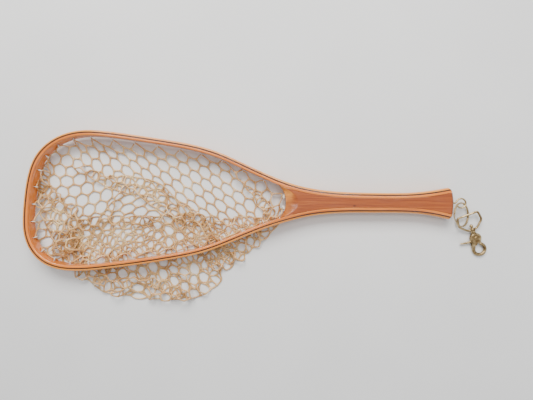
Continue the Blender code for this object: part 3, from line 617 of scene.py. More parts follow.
def wood(name, light, mid, dark, along=0.011, across=0.55, bands=0.0, spot=None, gloss=0.07, seed=0.0, ends=False, varnish=1.0):
    """Varnished wood. The grain attribute holds millimetres along, across and up."""
    g = Graph(name)
    at = g.attribute("grain")
    # slow wander of the fibres
    wander = g.noise(g.scaled(at, (0.012, 0.05, 0.05), (seed, 0, 0)), 1.0, 2.0, 0.5, colour=True)
    wander = g.vmath("SUBTRACT", wander, (0.5, 0.5, 0.5))
    at2 = g.vmath("ADD", at, g.vmath("MULTIPLY", wander, (0.0, 5.0, 5.0)))
    fibre = g.noise(g.scaled(at2, (along, across, across), (seed, seed * 2, 0)), 1.0, 6.0, 0.62, 0.2)
    fine = g.noise(g.scaled(at2, (along * 6, across * 5, across * 5), (0, seed, 0)), 1.0, 3.0, 0.6)
    colour = g.ramp(fibre, (0.28, dark), (0.47, mid), (0.72, light))
    if bands:
        ring = g.wave(g.scaled(at2, (0.006, bands, bands * 0.55)), 1.0, 3.2, 3.0)
        colour = g.mix(g.math("MULTIPLY", ring, 0.42), colour, tuple(c * 0.72 for c in mid))
    colour = g.mix(g.span(fine, 0.35, 0.75, 0.0, 0.30), colour, tuple(c * 0.55 for c in dark))
    # open pores: short dark dashes
    pores = g.noise(g.scaled(at2, (0.16, 3.6, 3.6), (3, seed, 1)), 1.0, 2.0, 0.5)
    pore = g.span(pores, 0.66, 0.74, 0.0, 0.55)
    colour = g.mix(pore, colour, tuple(c * 0.35 for c in dark))
    # patches that took the stain and the light differently
    patch = g.noise(g.scaled(at, (0.006, 0.03, 0.03), (seed * 3, 5, 0)), 1.0, 3.0, 0.6)
    colour = g.mix(g.span(patch, 0.35, 0.68, 0.0, 0.35), colour, tuple(min(1.0, c * 1.32) for c in mid), "MIX")
    if spot:
        away = g.vmath("LENGTH", g.vmath("MULTIPLY", g.vmath("SUBTRACT", at, (spot[0], spot[1], HEIGHT)), (0.5, 0.9, 0.3)), out=1)
        colour = g.mix(g.span(away, 0.35, 1.5, 0.85, 0.0), colour, tuple(c * 0.25 for c in dark))
    if ends:
        # the scoop at the throat is painted a lighter orange: partly its lighter cross-cut grain, partly a painted
        # highlight that grows towards its far (+Y) half
        facing = g.add("ShaderNodeSeparateXYZ")
        g.link(g.add("ShaderNodeNewGeometry").outputs["Normal"], facing.inputs[0])
        where = g.add("ShaderNodeSeparateXYZ")
        g.link(at, where.inputs[0])
        tilted = g.span(facing.outputs[2], 0.985, 0.90, 0.0, 1.0)
        throat_side = g.span(where.outputs[0], -112.0, -120.0, 0.0, 1.0)
        far_half_highlight = g.span(where.outputs[1], -10.0, 6.0, 0.25, 1.0)
        hollow = g.math("MULTIPLY", tilted, throat_side)
        scoop = g.math("MULTIPLY", hollow, far_half_highlight)
        colour = g.mix(scoop, colour, g.ramp(fibre, (0.3, (0.62, 0.20, 0.035)), (0.7, (0.90, 0.38, 0.08))))
        # painted shade: the butt's end face, where it turns towards +X, is painted dark over its end grain
        butt = g.math("MULTIPLY", g.span(facing.outputs[0], 0.22, 0.70, 0.0, 0.8), g.span(where.outputs[0], 0.0, 8.0, 0.0, 1.0))
        colour = g.mix(butt, colour, g.ramp(fine, (0.3, (0.06, 0.016, 0.007)), (0.7, (0.22, 0.06, 0.02))))
    g.set(Base_Color=colour, Roughness=g.span(fibre, 0.3, 0.7, 0.50, 0.38), Specular_IOR_Level=0.35,
          Coat_Weight=g.math("SUBTRACT", 1.0, g.math("MULTIPLY", hollow, 0.95)) if ends else varnish, Coat_IOR=1.5)
    smear = g.noise(g.scaled(at, (0.03, 0.09, 0.09), (1, 2, 3)), 1.0, 4.0, 0.6)
    g.set(Coat_Roughness=g.span(smear, 0.35, 0.7, gloss * 0.7, gloss * 2.0))
    relief = g.math("SUBTRACT", g.math("MULTIPLY", fibre, 0.5), g.math("MULTIPLY", pore, 0.9))
    g.set(Normal=g.bump(relief, 0.25, 0.00012))
    ripple = g.noise(g.scaled(at, (0.05, 0.16, 0.16), (4, 1, 0)), 1.0, 2.0, 0.5)
    g.set(Coat_Normal=g.bump(ripple, 0.16, 0.0004))
    return g.mat


def brass():
    g = Graph("antique_brass")
    at = g.place()
    edge = g.add("ShaderNodeNewGeometry").outputs["Pointiness"]
    cloud = g.noise(g.scaled(at, (160, 160, 160)), 1.0, 5.0, 0.6)
    fine = g.noise(g.scaled(at, (1500, 1500, 1500)), 1.0, 3.0, 0.6)
    worn = g.math("ADD", g.span(edge, 0.492, 0.53, 0.0, 0.9), g.span(cloud, 0.42, 0.72, -0.25, 0.35), clamp=True)
    colour = g.mix(worn, (0.19, 0.115, 0.045), (0.84, 0.64, 0.34))
    deep = g.span(edge, 0.44, 0.495, 0.85, 0.0)
    colour = g.mix(deep, colour, (0.045, 0.03, 0.018))
    colour = g.mix(g.span(fine, 0.55, 0.8, 0.0, 0.25), colour, (0.10, 0.075, 0.045))
    g.set(Base_Color=colour, Metallic=1.0, Roughness=g.math("ADD", g.span(worn, 0.0, 1.0, 0.48, 0.30), g.span(fine, 0.3, 0.8, -0.04, 0.10)))
    lumps = g.noise(g.scaled(at, (420, 420, 420)), 1.0, 4.0, 0.6)
    g.set(Normal=g.bump(lumps, 0.22, 0.0003))
    return g.mat


def steel():
    g = Graph("spring_steel")
    at = g.place()
    drawn = g.noise(g.scaled(at, (900, 900, 900)), 1.0, 3.0, 0.6)
    colour = g.ramp(drawn, (0.3, (0.22, 0.21, 0.20)), (0.6, (0.52, 0.51, 0.49)))
    g.set(Base_Color=colour, Metallic=1.0, Roughness=g.span(drawn, 0.3, 0.7, 0.28, 0.42))
    g.set(Normal=g.bump(drawn, 0.1, 0.0001))
    return g.mat


def rubber():
    g = Graph("net_rubber")
    at = g.place()
    cloud = g.noise(g.scaled(at, (22, 22, 22)), 1.0, 4.0, 0.6)
    fine = g.noise(g.scaled(at, (650, 650, 650)), 1.0, 3.0, 0.6)
    colour = g.ramp(cloud, (0.30, (0.46, 0.235, 0.080)), (0.50, (0.63, 0.375, 0.15)), (0.70, (0.80, 0.56, 0.285)))
    colour = g.mix(g.span(fine, 0.5, 0.8, 0.0, 0.22), colour, (0.34, 0.19, 0.08))
    g.set(Base_Color=colour, Roughness=g.span(fine, 0.3, 0.7, 0.22, 0.36), Specular_IOR_Level=0.55,
          Subsurface_Weight=0.35, Subsurface_Scale=0.0022, Coat_Weight=0.45, Coat_Roughness=0.12)
    g.shader.inputs["Subsurface Radius"].default_value = (1.0, 0.72, 0.42)
    g.set(Normal=g.bump(fine, 0.10, 0.0002))
    return g.mat


def cord():
    g = Graph("lacing_cord_white")
    at = g.place()
    dirt = g.noise(g.scaled(at, (45, 45, 45)), 1.0, 4.0, 0.6)
    fuzz = g.noise(g.scaled(at, (3200, 3200, 3200)), 1.0, 3.0, 0.7)
    colour = g.ramp(dirt, (0.32, (0.66, 0.60, 0.50)), (0.6, (0.86, 0.83, 0.76)))
    colour = g.mix(g.span(fuzz, 0.45, 0.8, 0.0, 0.3), colour, (0.52, 0.47, 0.39))
    g.set(Base_Color=colour, Roughness=0.72, Sheen_Weight=0.35, Sheen_Roughness=0.4)
    g.set(Normal=g.bump(fuzz, 0.35, 0.0002))
    return g.mat


M_OUTER = wood("outer_ply_wood", (0.98, 0.42, 0.055), (0.88, 0.29, 0.030), (0.55, 0.14, 0.012), seed=1.0)
M_MIDDLE = wood("middle_ply_wood", (0.085, 0.022, 0.012), (0.048, 0.012, 0.007), (0.022, 0.006, 0.004), seed=2.0,
                varnish=0.35)
M_INNER = wood("inner_ply_wood", (0.90, 0.32, 0.035), (0.76, 0.20, 0.018), (0.45, 0.10, 0.010), seed=3.0)
M_CORE = wood("handle_core_wood", (0.54, 0.140, 0.019), (0.35, 0.070, 0.008), (0.11, 0.019, 0.003),
              along=0.009, across=0.40, bands=0.10, spot=(-23.6, -4.7), gloss=0.12, seed=4.0, ends=True)
M_BRASS, M_STEEL, M_RUBBER, M_CORD = brass(), steel(), rubber(), cord()

# ---------------------------------------------------------------- wood
MIDDLE = HEIGHT / 2


class Line:
    """The outline as arrays, for many points at once."""

    s, p, t = PATH.s, PATH.p, PATH.t

    @staticmethod
    def at(s, d):
        s, d = np.asarray(s, float), np.asarray(d, float)
        x, y = (np.interp(s, PATH.s, PATH.p[:, i]) for i in (0, 1))
        tx, ty = (np.interp(s, PATH.s, PATH.t[:, i]) for i in (0, 1))
        size = np.hypot(tx, ty)
        return x - ty / size * d, y + tx / size * d

    @staticmethod
    def nearest(xy):
        """Arc length and depth below the outside of each point."""
        s, d = np.zeros(len(xy)), np.zeros(len(xy))
        coarse = PATH.p[::20]
        normal = np.stack([-PATH.t[:, 1], PATH.t[:, 0]], 1)
        for k in range(0, len(xy), 4000):
            q = xy[k : k + 4000]
            c = ((q[:, None] - coarse[None]) ** 2).sum(-1).argmin(1) * 20
            near = np.clip(c[:, None] + np.arange(-24, 25)[None], 0, len(PATH.p) - 1)
            best = ((q[:, None] - PATH.p[near]) ** 2).sum(-1).argmin(1)
            i = near[np.arange(len(q)), best]
            v = q - PATH.p[i]
            s[k : k + 4000] = PATH.s[i] + (v * PATH.t[i]).sum(1)
            d[k : k + 4000] = (v * normal[i]).sum(1)
        return s, d


def ply_end(s, d, direction, back):
    """The point of a ply d inside the outside surface, back mm from the butt's end."""
    x, y = PATH.at(s, d)
    x2, y2 = PATH.at(s + direction * 8, d)
    slope = (y - y2) / (x - x2)
    for _ in range(12):
        new = butt_end(y) - back
        y += (new - x) * slope
        x = new
    return x, y


def butt_fall(back):
    return edge_drop(back, BUTT_EDGE_R - 1.0) * 0.93


END_BACKS = (0.0, 0.04, 0.16, 0.38, 0.7, 1.12, 1.65, 2.3, 3.1, 4.0, 5.0, 5.5)


def ply_rows():
    """Arc lengths along a ply, and for those beside the butt how far back they lie."""
    rows = [(PATH.s[0], 1, b) for b in END_BACKS]
    first, last = PATH.s[0] + 14.0, PATH.s[-1] - 14.0
    marks = [S_NEAR - 9, S_NEAR - 4, S_FAR + 4, S_FAR + 9]
    plain = [s for s in np.linspace(first, last, 470) if min(abs(s - m) for m in marks) > 1.0]
    rows += [(s, 0, 0.0) for s in sorted(plain + marks)]
    rows += [(PATH.s[-1], -1, b) for b in END_BACKS[::-1]]
    return rows


PLY_ROWS = ply_rows()
GLUE_EDGE = 0.22     # the small rounding each ply keeps along its glue lines


def ply_depths(s, near, far):
    """Depths across one ply's top face, closer together where the edge is round."""
    x = PATH.at(s)[0]
    if near == 0:
        r = HOOP_EDGE_R + (GRIP_EDGE_R - HOOP_EDGE_R) * smooth(x, -165, -60)
        reach = min(r, 0.93 * (far - GLUE_EDGE))
        top = math.acos(max(0.0, 1 - reach / r))
        out = [r * (1 - math.cos(top * i / 9)) for i in range(10)]
        return out + [far - GLUE_EDGE, far - GLUE_EDGE * 0.3, far]
    if far > LAMINATE - 0.2:
        r = max(0.25, INSIDE_EDGE_R * (1 - smooth(x, -165, -138)))
        out = [near, near + GLUE_EDGE * 0.3, near + GLUE_EDGE, near + 0.5 * (LAMINATE - r - near)]
        return out + [LAMINATE - r * (1 - math.cos(math.pi / 2 * (1 - i / 9))) for i in range(10)]
    mid = (near + far) / 2
    return [near, near + GLUE_EDGE * 0.3, near + GLUE_EDGE, mid, far - GLUE_EDGE, far - GLUE_EDGE * 0.3, far]


def ply_drop(s, d, near, far, back):
    """How far the ply's top face lies below HEIGHT."""
    drop = top_drop(s, d)
    inner = INSIDE_EDGE_R * (1 - smooth(PATH.at(s)[0], -165, -138))
    if far > LAMINATE - 0.2 and inner < 0.25:
        drop = max(drop, edge_drop(LAMINATE - d, 0.25))
    fillet = 0.0
    if near > 0:
        fillet = max(fillet, edge_drop(d - near, GLUE_EDGE))
    if far < LAMINATE - 0.2:
        fillet = max(fillet, edge_drop(far - d, GLUE_EDGE))
    if back is not None:
        drop = max(drop, butt_fall(back) + 0.12 * drop)
    return min(MIDDLE - 2.5, drop + fillet * 0.8)


def ply(name, near, far, mat, slot, groove=False):
    sections = []
    for s, side, back in PLY_ROWS:
        run = 0.0
        if groove and S_NEAR - 9 <= s <= S_FAR + 9:
            run = GROOVE_DEPTH * min(1.0, (s - S_NEAR + 9) / 5, (S_FAR + 9 - s) / 5)
        ring = []
        depths = ply_depths(s, near, far)
        top = [(d, HEIGHT - ply_drop(s, d, near, far, back if side else None)) for d in depths]
        low = [(d, HEIGHT - z) for d, z in top[::-1]]
        around = top + low
        if groove:
            half = GROOVE_W / 2
            cut_at = [(0.0, -half - 0.12), (0.1, -half), (run * 0.8, -half), (run, -half * 0.62), (run, 0.0),
                      (run, half * 0.62), (run * 0.8, half), (0.1, half), (0.0, half + 0.12)]
            flat = [(0.0, v) for _, v in cut_at]
            share = min(1.0, run / 0.3)
            around += [(a[0] * share + b[0] * (1 - share), MIDDLE + a[1]) for a, b in zip(cut_at, flat)]
        for d, z in around:
            x, y = ply_end(s, d, side, back) if side else PATH.at(s, d)
            ring.append((x, y, z))
        sections.append(ring)
    n = len(sections[0])
    points = [p for ring in sections for p in ring]
    faces = []
    for i in range(len(sections) - 1):
        for j in range(n):
            k = (j + 1) % n
            faces.append((i * n + j, i * n + k, (i + 1) * n + k, (i + 1) * n + j))
    last = (len(sections) - 1) * n
    # the ends are strips across the ply
    half = len(ply_depths(0.0, near, far))
    for base in (0, last):
        for j in range(half - 1):
            a, b = base + j, base + j + 1
            c, d = base + 2 * half - 2 - j, base + 2 * half - 1 - j
            faces.append((a, b, c, d))
        if groove:
            faces.append(tuple([base, base + 2 * half - 1] + [base + 2 * half + q for q in range(n - 2 * half)]))
    obj = add(name, raw_mesh(name, points, faces), mat)
    tidy(obj)
    cut(obj, raw_mesh("drills", *LACING_DRILLS), keep=False)
    tidy(obj)
    xyz = vertices(obj)
    s, d = Line.nearest(xyz[:, :2])
    point_attribute(obj, "grain", np.stack([s, d, xyz[:, 2]], 1))
    return finish_piece(obj, "frame", slot, name[:-5] if name.endswith("_wood") else name)


END_BORES = []
for s, side in ((S_NEAR, 1), (S_FAR, -1)):
    END_BORES.append((np.array((*PATH.at(s, 0), MIDDLE)), np.array((throat(KNOT_Y), side * KNOT_Y, MIDDLE))))
LACING_DRILLS = merged(
    [rod((*PATH.at(s, -3), MIDDLE), (*PATH.at(s, LAMINATE + 3), MIDDLE), HOLE_R, 28) for s in HOLES]
    + [rod(a - unit(b - a) * 4, b + unit(b - a) * 6, 1.35, 24) for a, b in END_BORES]
)


def side_lines():
    """Y of the core's two sides along x."""
    d = LAMINATE + CORE_GAP
    s = np.linspace(0, PATH.s[-1] / 2, 4000)
    x, y = Line.at(s, d)
    x2, y2 = Line.at(PATH.s[-1] - s, d)
    keep, keep2 = x > -200, x2 > -200
    return (x[keep][::-1], y[keep][::-1]), (x2[keep2][::-1], y2[keep2][::-1])


SIDE_HIGH, SIDE_LOW = side_lines()
butt_ends, throats, edge_drops = (np.vectorize(f, otypes=[float]) for f in (butt_end, throat, edge_drop))


def handle_core(mat):
    fine = [0.0, 0.05, 0.18, 0.4, 0.7, 1.05, 1.5]
    near = fine + list(np.arange(2.1, 26.0, 0.85))
    tail = list(END_BACKS[::-1])
    far = list(np.arange(8.0, 5.6, -0.8))
    steps = [("a", v) for v in near] + [("m", v) for v in np.linspace(0.0, 1.0, 62)[1:-1]] + [("b", v) for v in far + tail]
    j = np.concatenate([[-1, -0.985, -0.95], np.linspace(-0.9, 0.9, 37), [0.95, 0.985, 1]])
    x = np.zeros((len(steps), len(j)))
    y = np.zeros_like(x)
    kind = np.array([k for k, _ in steps])[:, None]
    value = np.array([v for _, v in steps])[:, None]
    for _ in range(60):
        a, b = throats(y), butt_ends(y)
        start, stop = a + 26.0, b - 8.6
        new = np.where(kind == "a", a + value, np.where(kind == "b", b - value, start + (stop - start) * value))
        x = 0.5 * x + 0.5 * new
        low = np.interp(x, *SIDE_LOW)
        high = np.interp(x, *SIDE_HIGH)
        y = (low + high) / 2 + j[None] * (high - low) / 2
    a, b = throats(y), butt_ends(y)
    fall = edge_drops(b - x, BUTT_EDGE_R - 1.0) * 0.93
    back = x - a
    reach = SCOOP_LENGTH * np.maximum(0.0, 1 - (y / 24.5) ** 2)
    scoop = SCOOP_DEPTH * np.minimum(1.0, reach / 8) * np.maximum(0.0, 1 - back / np.maximum(reach, 1e-6)) ** 1.3
    lip = edge_drops(back, 1.1)
    half = (np.interp(x, *SIDE_HIGH) - np.interp(x, *SIDE_LOW)) / 2
    side = edge_drops(np.maximum(0, half * (1 - np.abs(j[None]))), 0.3) * 0.8
    top = HEIGHT - np.maximum(fall, np.maximum(scoop, 0) + lip) - side
    low = np.maximum(fall, lip) + side
    rows, cols = x.shape
    upper = np.stack([x, y, top], -1).reshape(-1, 3)
    lower = np.stack([x, y, low], -1).reshape(-1, 3)
    points = np.vstack([upper, lower])
    m = rows * cols
    faces = []
    for i in range(rows - 1):
        for q in range(cols - 1):
            a0 = i * cols + q
            faces.append((a0, a0 + cols, a0 + cols + 1, a0 + 1))
            faces.append((m + a0, m + a0 + 1, m + a0 + cols + 1, m + a0 + cols))
        for q in (0, cols - 1):
            a0 = i * cols + q
            faces.append((a0, m + a0, m + a0 + cols, a0 + cols) if q == 0 else (a0 + cols, m + a0 + cols, m + a0, a0))
    for i in (0, rows - 1):
        for q in range(cols - 1):
            a0 = i * cols + q
            faces.append((a0, a0 + 1, m + a0 + 1, m + a0) if i == 0 else (m + a0, m + a0 + 1, a0 + 1, a0))
    obj = add("handle_core_wood", raw_mesh("handle_core_wood", points, faces), mat)
    tidy(obj)
    shank = rod((109.5, EYE[1], EYE[2]), (136.0, EYE[1], EYE[2]), 1.65, 32)
    cut(obj, raw_mesh("drills", *merged([LACING_DRILLS, shank])))
    tidy(obj)
    xyz = vertices(obj)
    point_attribute(obj, "grain", xyz)
    return finish_piece(obj, "frame", "handle_core_wood", "handle_core")


# ---------------------------------------------------------------- cord
STRAND = 1.2             # radius of the bag's rubber strands
HOLD = 2.7               # the strand each loop holds lies this far inside the hoop
HOLD_Z = 10.6


def cord_line():
    """The cord's centre line: round the groove, with a loop through each hole."""
    r = CORD_R
    points = []

    def groove(s):
        x, y = PATH.at(s, GROOVE_DEPTH - r - 0.02)
        return (x, y, MIDDLE)

    def knot(bore, towards_wood):
        """A stopper knot on the cord's end, from its tail to the bore."""
        out, inside = bore
        way = unit(inside - out)
        side = unit(np.cross(way, (0, 0, 1)))
        up = np.cross(side, way)
        made = []
        coil = 2.15 * r
        turns, start, stop = 2.5, 2.2, 5.6
        tail = inside + way * (start - 0.4) + side * coil * 1.5 + up * 2.0
        made.append(tail)
        made.append(inside + way * start + side * coil * 1.1 + up * 0.6)
        for i in range(int(turns * 10) + 1):
            a = 2 * math.pi * i / 10
            along = start + (stop - start) * i / (turns * 10)
            made.append(inside + way * along + coil * (math.cos(a) * side + math.sin(a) * up))
        made.append(inside + way * (stop + 1.5) + up * coil * 0.3 - side * coil * 0.5)
        made.append(inside + way * (stop + 1.0))
        made.append(inside + way * (start - 1.5))
        made.append(inside - way * 3)
        made.append(out + way * 2.0)
        made.append(out + way * 0.4)
        return made

    points += knot(END_BORES[0], True)
    marks = [("groove", s) for s in np.arange(S_NEAR + 1.5, S_FAR - 1.0, 2.0) if min(abs(s - h) for h in HOLES) > 3.4]
    marks += [("hole", s) for s in HOLES]
    marks.sort(key=lambda item: item[1])
    for kind, s in marks:
        if kind == "groove":
            points.append(groove(s))
            continue
        x, y = PATH.at(s)
        ox, oy = PATH.at(s, 1.0)
        inward = np.array((ox - x, oy - y, 0.0))
        tangent = np.array((inward[1], -inward[0], 0.0))
        centre = np.array((x, y, 0.0)) + inward * (LAMINATE + HOLD)
        loop = STRAND + r + 0.02
        leg = 0.80
        origin = np.array((x, y, 0.0))
        path = [origin + inward * 0.15 - tangent * 1.9 + (0, 0, MIDDLE + 0.25),
                origin + inward * 0.9 - tangent * 0.55 + (0, 0, MIDDLE + 0.62),
                origin + inward * 3.0 - tangent * 0.15 + (0, 0, MIDDLE + leg),
                origin + inward * (LAMINATE - 0.6) - tangent * 0.05 + (0, 0, MIDDLE + leg)]
        for a in np.linspace(125, -125, 11):
            q = math.radians(a)
            path.append(centre + inward * loop * math.cos(q) + (0, 0, HOLD_Z + loop * math.sin(q)))
        path += [origin + inward * (LAMINATE - 0.6) + tangent * 0.05 + (0, 0, MIDDLE - leg),
                 origin + inward * 3.0 + tangent * 0.15 + (0, 0, MIDDLE - leg),
                 origin + inward * 0.9 + tangent * 0.55 + (0, 0, MIDDLE - 0.62),
                 origin + inward * 0.15 + tangent * 1.9 + (0, 0, MIDDLE - 0.25)]
        points += path if tangent @ (np.array((*PATH.at(s + 1), 0.0)) - origin) > 0 else [
            p * 1.0 for p in mirrored(path, origin, tangent)]
    points += knot(END_BORES[1], False)[::-1]
    return points


def mirrored(path, origin, tangent):
    """The same loop with its two legs' sides swapped."""
    t = tangent / np.linalg.norm(tangent)
    return [p - 2 * ((p - origin) @ t) * t for p in path]


def lacing():
    line = curve_through(cord_line(), 0.42)
    points, faces = tube(line, CORD_R, 12, lobes=3, lobe_depth=0.16, lay=3.4)
    obj = add("lacing_cord_laid", raw_mesh("lacing_cord_laid", points, faces, repair=False), M_CORD)
    return finish_piece(obj, "frame", "lacing_cord_white", "lacing_cord", angle=0)


# ---------------------------------------------------------------- hanger
RING_LONG = Vector((0.065, -0.998, 0)).normalized()
RING_FALL = Vector((0.8403, 0.0547, -0.539)).normalized()
RING_LONG = (RING_LONG - RING_FALL * RING_LONG.dot(RING_FALL)).normalized()
RING_FRAME = frame_matrix(RING_LONG, RING_FALL, RING)
ALONG = Vector((0.3684, -0.9270, -0.0698)).normalized()
ACROSS = Vector((0.9294, 0.3654, 0.0522)).normalized()
ACROSS = (ACROSS - ALONG * ACROSS.dot(ALONG)).normalized()
BAIL_FRAME = frame_matrix(ACROSS, -ALONG, BAR)
SNAP_FRAME = frame_matrix(ACROSS, -ALONG, Vector(BAR) + ALONG * RIVET_AT)


def cast(obj, grain, passes, mirror=None):
    """Melts overlapping shapes into one casting with small fillets."""
    mod = obj.modifiers.new("cast", "REMESH")
    mod.mode = "VOXEL"
    mod.voxel_size = grain * MM
    mod.adaptivity = 0.0
    bake(obj)
    mod = obj.modifiers.new("fillet", "SMOOTH")
    mod.factor = 0.5
    mod.iterations = passes
    bake(obj)
    return obj


def united(name, parts):
    """One mesh from overlapping closed parts, joined one by one."""
    obj = add(name, raw_mesh(name, *parts[0]), M_BRASS)
    for part in parts[1:]:
        cut(obj, raw_mesh("part", *part), "UNION")
    return obj


def place(obj, matrix):
    obj.data.transform(matrix)
    return obj


def on_axis(shape, along=0.0):
    """Turns a lathe shape so that its Z runs along local +Y, at y = along."""
    points, faces = shape
    p = np.asarray(points, float)
    return np.stack([p[:, 0], p[:, 2] + along, -p[:, 1]], 1), faces


def screw_eye():
    a = np.radians(np.arange(196, 523, 4.0))
    ring = [(EYE[0] + EYE_R * math.cos(q), EYE[1] - EYE_R * math.sin(q), EYE[2] + 0.25 * math.sin((q - math.pi) * 0.5)) for q in a]
    neck = [(110.6, EYE[1], EYE[2]), (120.0, EYE[1], EYE[2]), (130.0, EYE[1], EYE[2]), (133.4, EYE[1] + 0.05, EYE[2]), (135.4, EYE[1] + 0.6, EYE[2])]
    line = curve_through(neck + ring[2:], 0.35)
    x = line[:, 0]
    run = np.concatenate([[0], np.cumsum(np.linalg.norm(np.diff(line, axis=0), axis=1))])
    radius = np.full(len(line), EYE_WIRE)
    # the shank's thread, which stays inside the handle
    thread = (run > 3) & (run < 16.5)
    radius = np.where(thread, EYE_WIRE * (0.86 + 0.14 * np.cos(2 * math.pi * run / 1.25)), radius)
    radius = np.where(run < 3, EYE_WIRE * (0.25 + 0.61 * run / 3), radius)
    points, faces = tube(line, radius, 24)
    obj = add("screw_eye_brass", raw_mesh("screw_eye_brass", points, faces), M_BRASS)
    return finish_piece(obj, "frame", "antique_brass", "screw_eye")


def split_ring():
    """Two turns of flat wire, closed by one short climb."""
    turn = np.radians(np.arange(25, 695.1, 2.5))
    start = math.radians(290)
    rows = []
    section = []
    ha, hr, c = RING_AXIAL / 2 - 0.01, RING_RADIAL / 2, 0.32
    for sx, sy in ((1, 1), (-1, 1), (-1, -1), (1, -1)):
        base = math.atan2(sy, sx)
        for q in np.linspace(-math.pi / 4, math.pi / 4, 5):
            ang = base + q
            # a rounded rectangle, by corner
            section.append((sx * (hr - c) + c * math.cos(math.atan2(sy, sx) + q), sy * (ha - c) + c * math.sin(math.atan2(sy, sx) + q)))
    n = len(section)
    points = []
    count = len(turn)
    for i, a in enumerate(turn):
        z = RING_PITCH * (smooth(math.degrees(a), 335, 385) - 0.5)
        near = min(i, count - 1 - i)
        shrink = (0.35, 0.72, 0.9)[near] if near < 3 else 1.0
        for u, v in section:
            r = RING_R + u * shrink
            points.append((r * math.cos(a + start), r * math.sin(a + start), z + v * (0.5 + 0.5 * shrink)))
    faces = []
    for i in range(count - 1):
        for j in range(n):
            k = (j + 1) % n
            faces.append((i * n + j, i * n + k, (i + 1) * n + k, (i + 1) * n + j))
    faces.append(tuple(range(n)))
    faces.append(tuple((count - 1) * n + j for j in reversed(range(n))))
    obj = add("split_ring_brass", raw_mesh("split_ring_brass", points, faces), M_BRASS)
    place(obj, RING_FRAME)
    return finish_piece(obj, "ring", "antique_brass", "split_ring")


def swivel_bail():
    half = [(0.0, 0.0), (9.0, 0.0), (14.0, -0.05), (16.2, -0.9), (16.95, -3.0), (17.7, -8.0), (18.15, -12.2), (17.2, -14.9),
            (13.4, -18.6), (9.6, -22.2), (6.8, -24.0), (2.0, -24.6)]
    loop = [(x, y, 0) for x, y in half] + [(-x, y, 0) for x, y in half[:0:-1]]
    line = curve_through(loop, 0.4, closed=True)
    wire = tube(line, BAIL_WIRE, 24, closed=True)
    a, b, r = BOSS
    boss = on_axis(lathe([(0, -0.6), (r - 0.7, -0.6), (r - 0.2, -0.45), (r, 0.1), (r, 3.2), (r - 0.35, 4.3), (r - 1.0, b - a), (0, b - a)], 40), -b)
    obj = united("swivel_bail_brass", [wire, boss])
    cut(obj, raw_mesh("bore", *rod((0, -b - 3, 0), (0, -a + 3, 0), STUD_R + 0.3, 32)))
    cast(obj, 0.24, 5)
    place(obj, BAIL_FRAME)
    return finish_piece(obj, "bail", "antique_brass", "swivel_bail", angle=0)


def swivel_stud():
    z = lambda along: RIVET_AT - along
    ball = z(STUD_BALL_AT)
    profile = [(0.0, ball + STUD_BALL)]
    for a in range(6, 146, 6):
        profile.append((STUD_BALL * math.sin(math.radians(a)), ball + STUD_BALL * math.cos(math.radians(a))))
    profile += [(STUD_R + 0.12, ball - 2.5), (STUD_R, ball - 2.8), (STUD_R, z(STUD_END) + 0.3), (STUD_R - 0.3, z(STUD_END)), (0.0, z(STUD_END))]
    points, faces = on_axis(lathe(profile, 40))
    obj = add("swivel_stud_brass", raw_mesh("swivel_stud_brass", points, faces), M_BRASS)
    place(obj, SNAP_FRAME)
    return finish_piece(obj, "snap", "antique_brass", "swivel_stud")


def bow(angle, radius=BOW_R, z=0.0):
    a = math.radians(angle)
    return (radius * math.sin(a), -BOW_AT + radius * math.cos(a), z)


def rounded(outline, step=0.6):
    """A closed outline with its corners eased."""
    line = curve_through([(x, y, 0.0) for x, y in outline], step, closed=True)
    return [(x, y) for x, y, _ in line]


def pillow(outline, thickness, edge, seam=0.0):
    """A flat outline with rounded edges, as nested slices."""
    base = np.array(outline, float)
    # inward normals
    t = unit(np.roll(base, -1, 0) - np.roll(base, 1, 0))
    n = np.stack([-t[:, 1], t[:, 0]], 1)
    area = 0.5 * np.sum(base[:, 0] * np.roll(base[:, 1], -1) - np.roll(base[:, 0], -1) * base[:, 1])
    if area < 0:
        n = -n
    slices = []
    for q in np.linspace(0, math.pi / 2, 5):
        slices.append((edge * (1 - math.cos(q)), thickness / 2 - edge * (1 - math.sin(q)) if edge else thickness / 2))
    slices = [(i, z) for i, z in slices]
    rows = [(i, -z) for i, z in reversed(slices)] + [(i, z) for i, z in slices]
    points, faces, m = [], [], len(base)
    for inset, z in rows:
        for p in base + n * inset:
            points.append((p[0], p[1], z))
    for r in range(len(rows) - 1):
        for j in range(m):
            k = (j + 1) % m
            faces.append((r * m + j, r * m + k, (r + 1) * m + k, (r + 1) * m + j))
    faces.append(tuple(range(m))[::-1])
    faces.append(tuple((len(rows) - 1) * m + j for j in range(m)))
    return points, faces


def disc(radius, low=0, high=360, count=48):
    full = high - low >= 359
    return [(radius * math.cos(math.radians(a)), radius * math.sin(math.radians(a)))
            for a in np.linspace(low, high, count, endpoint=not full)]


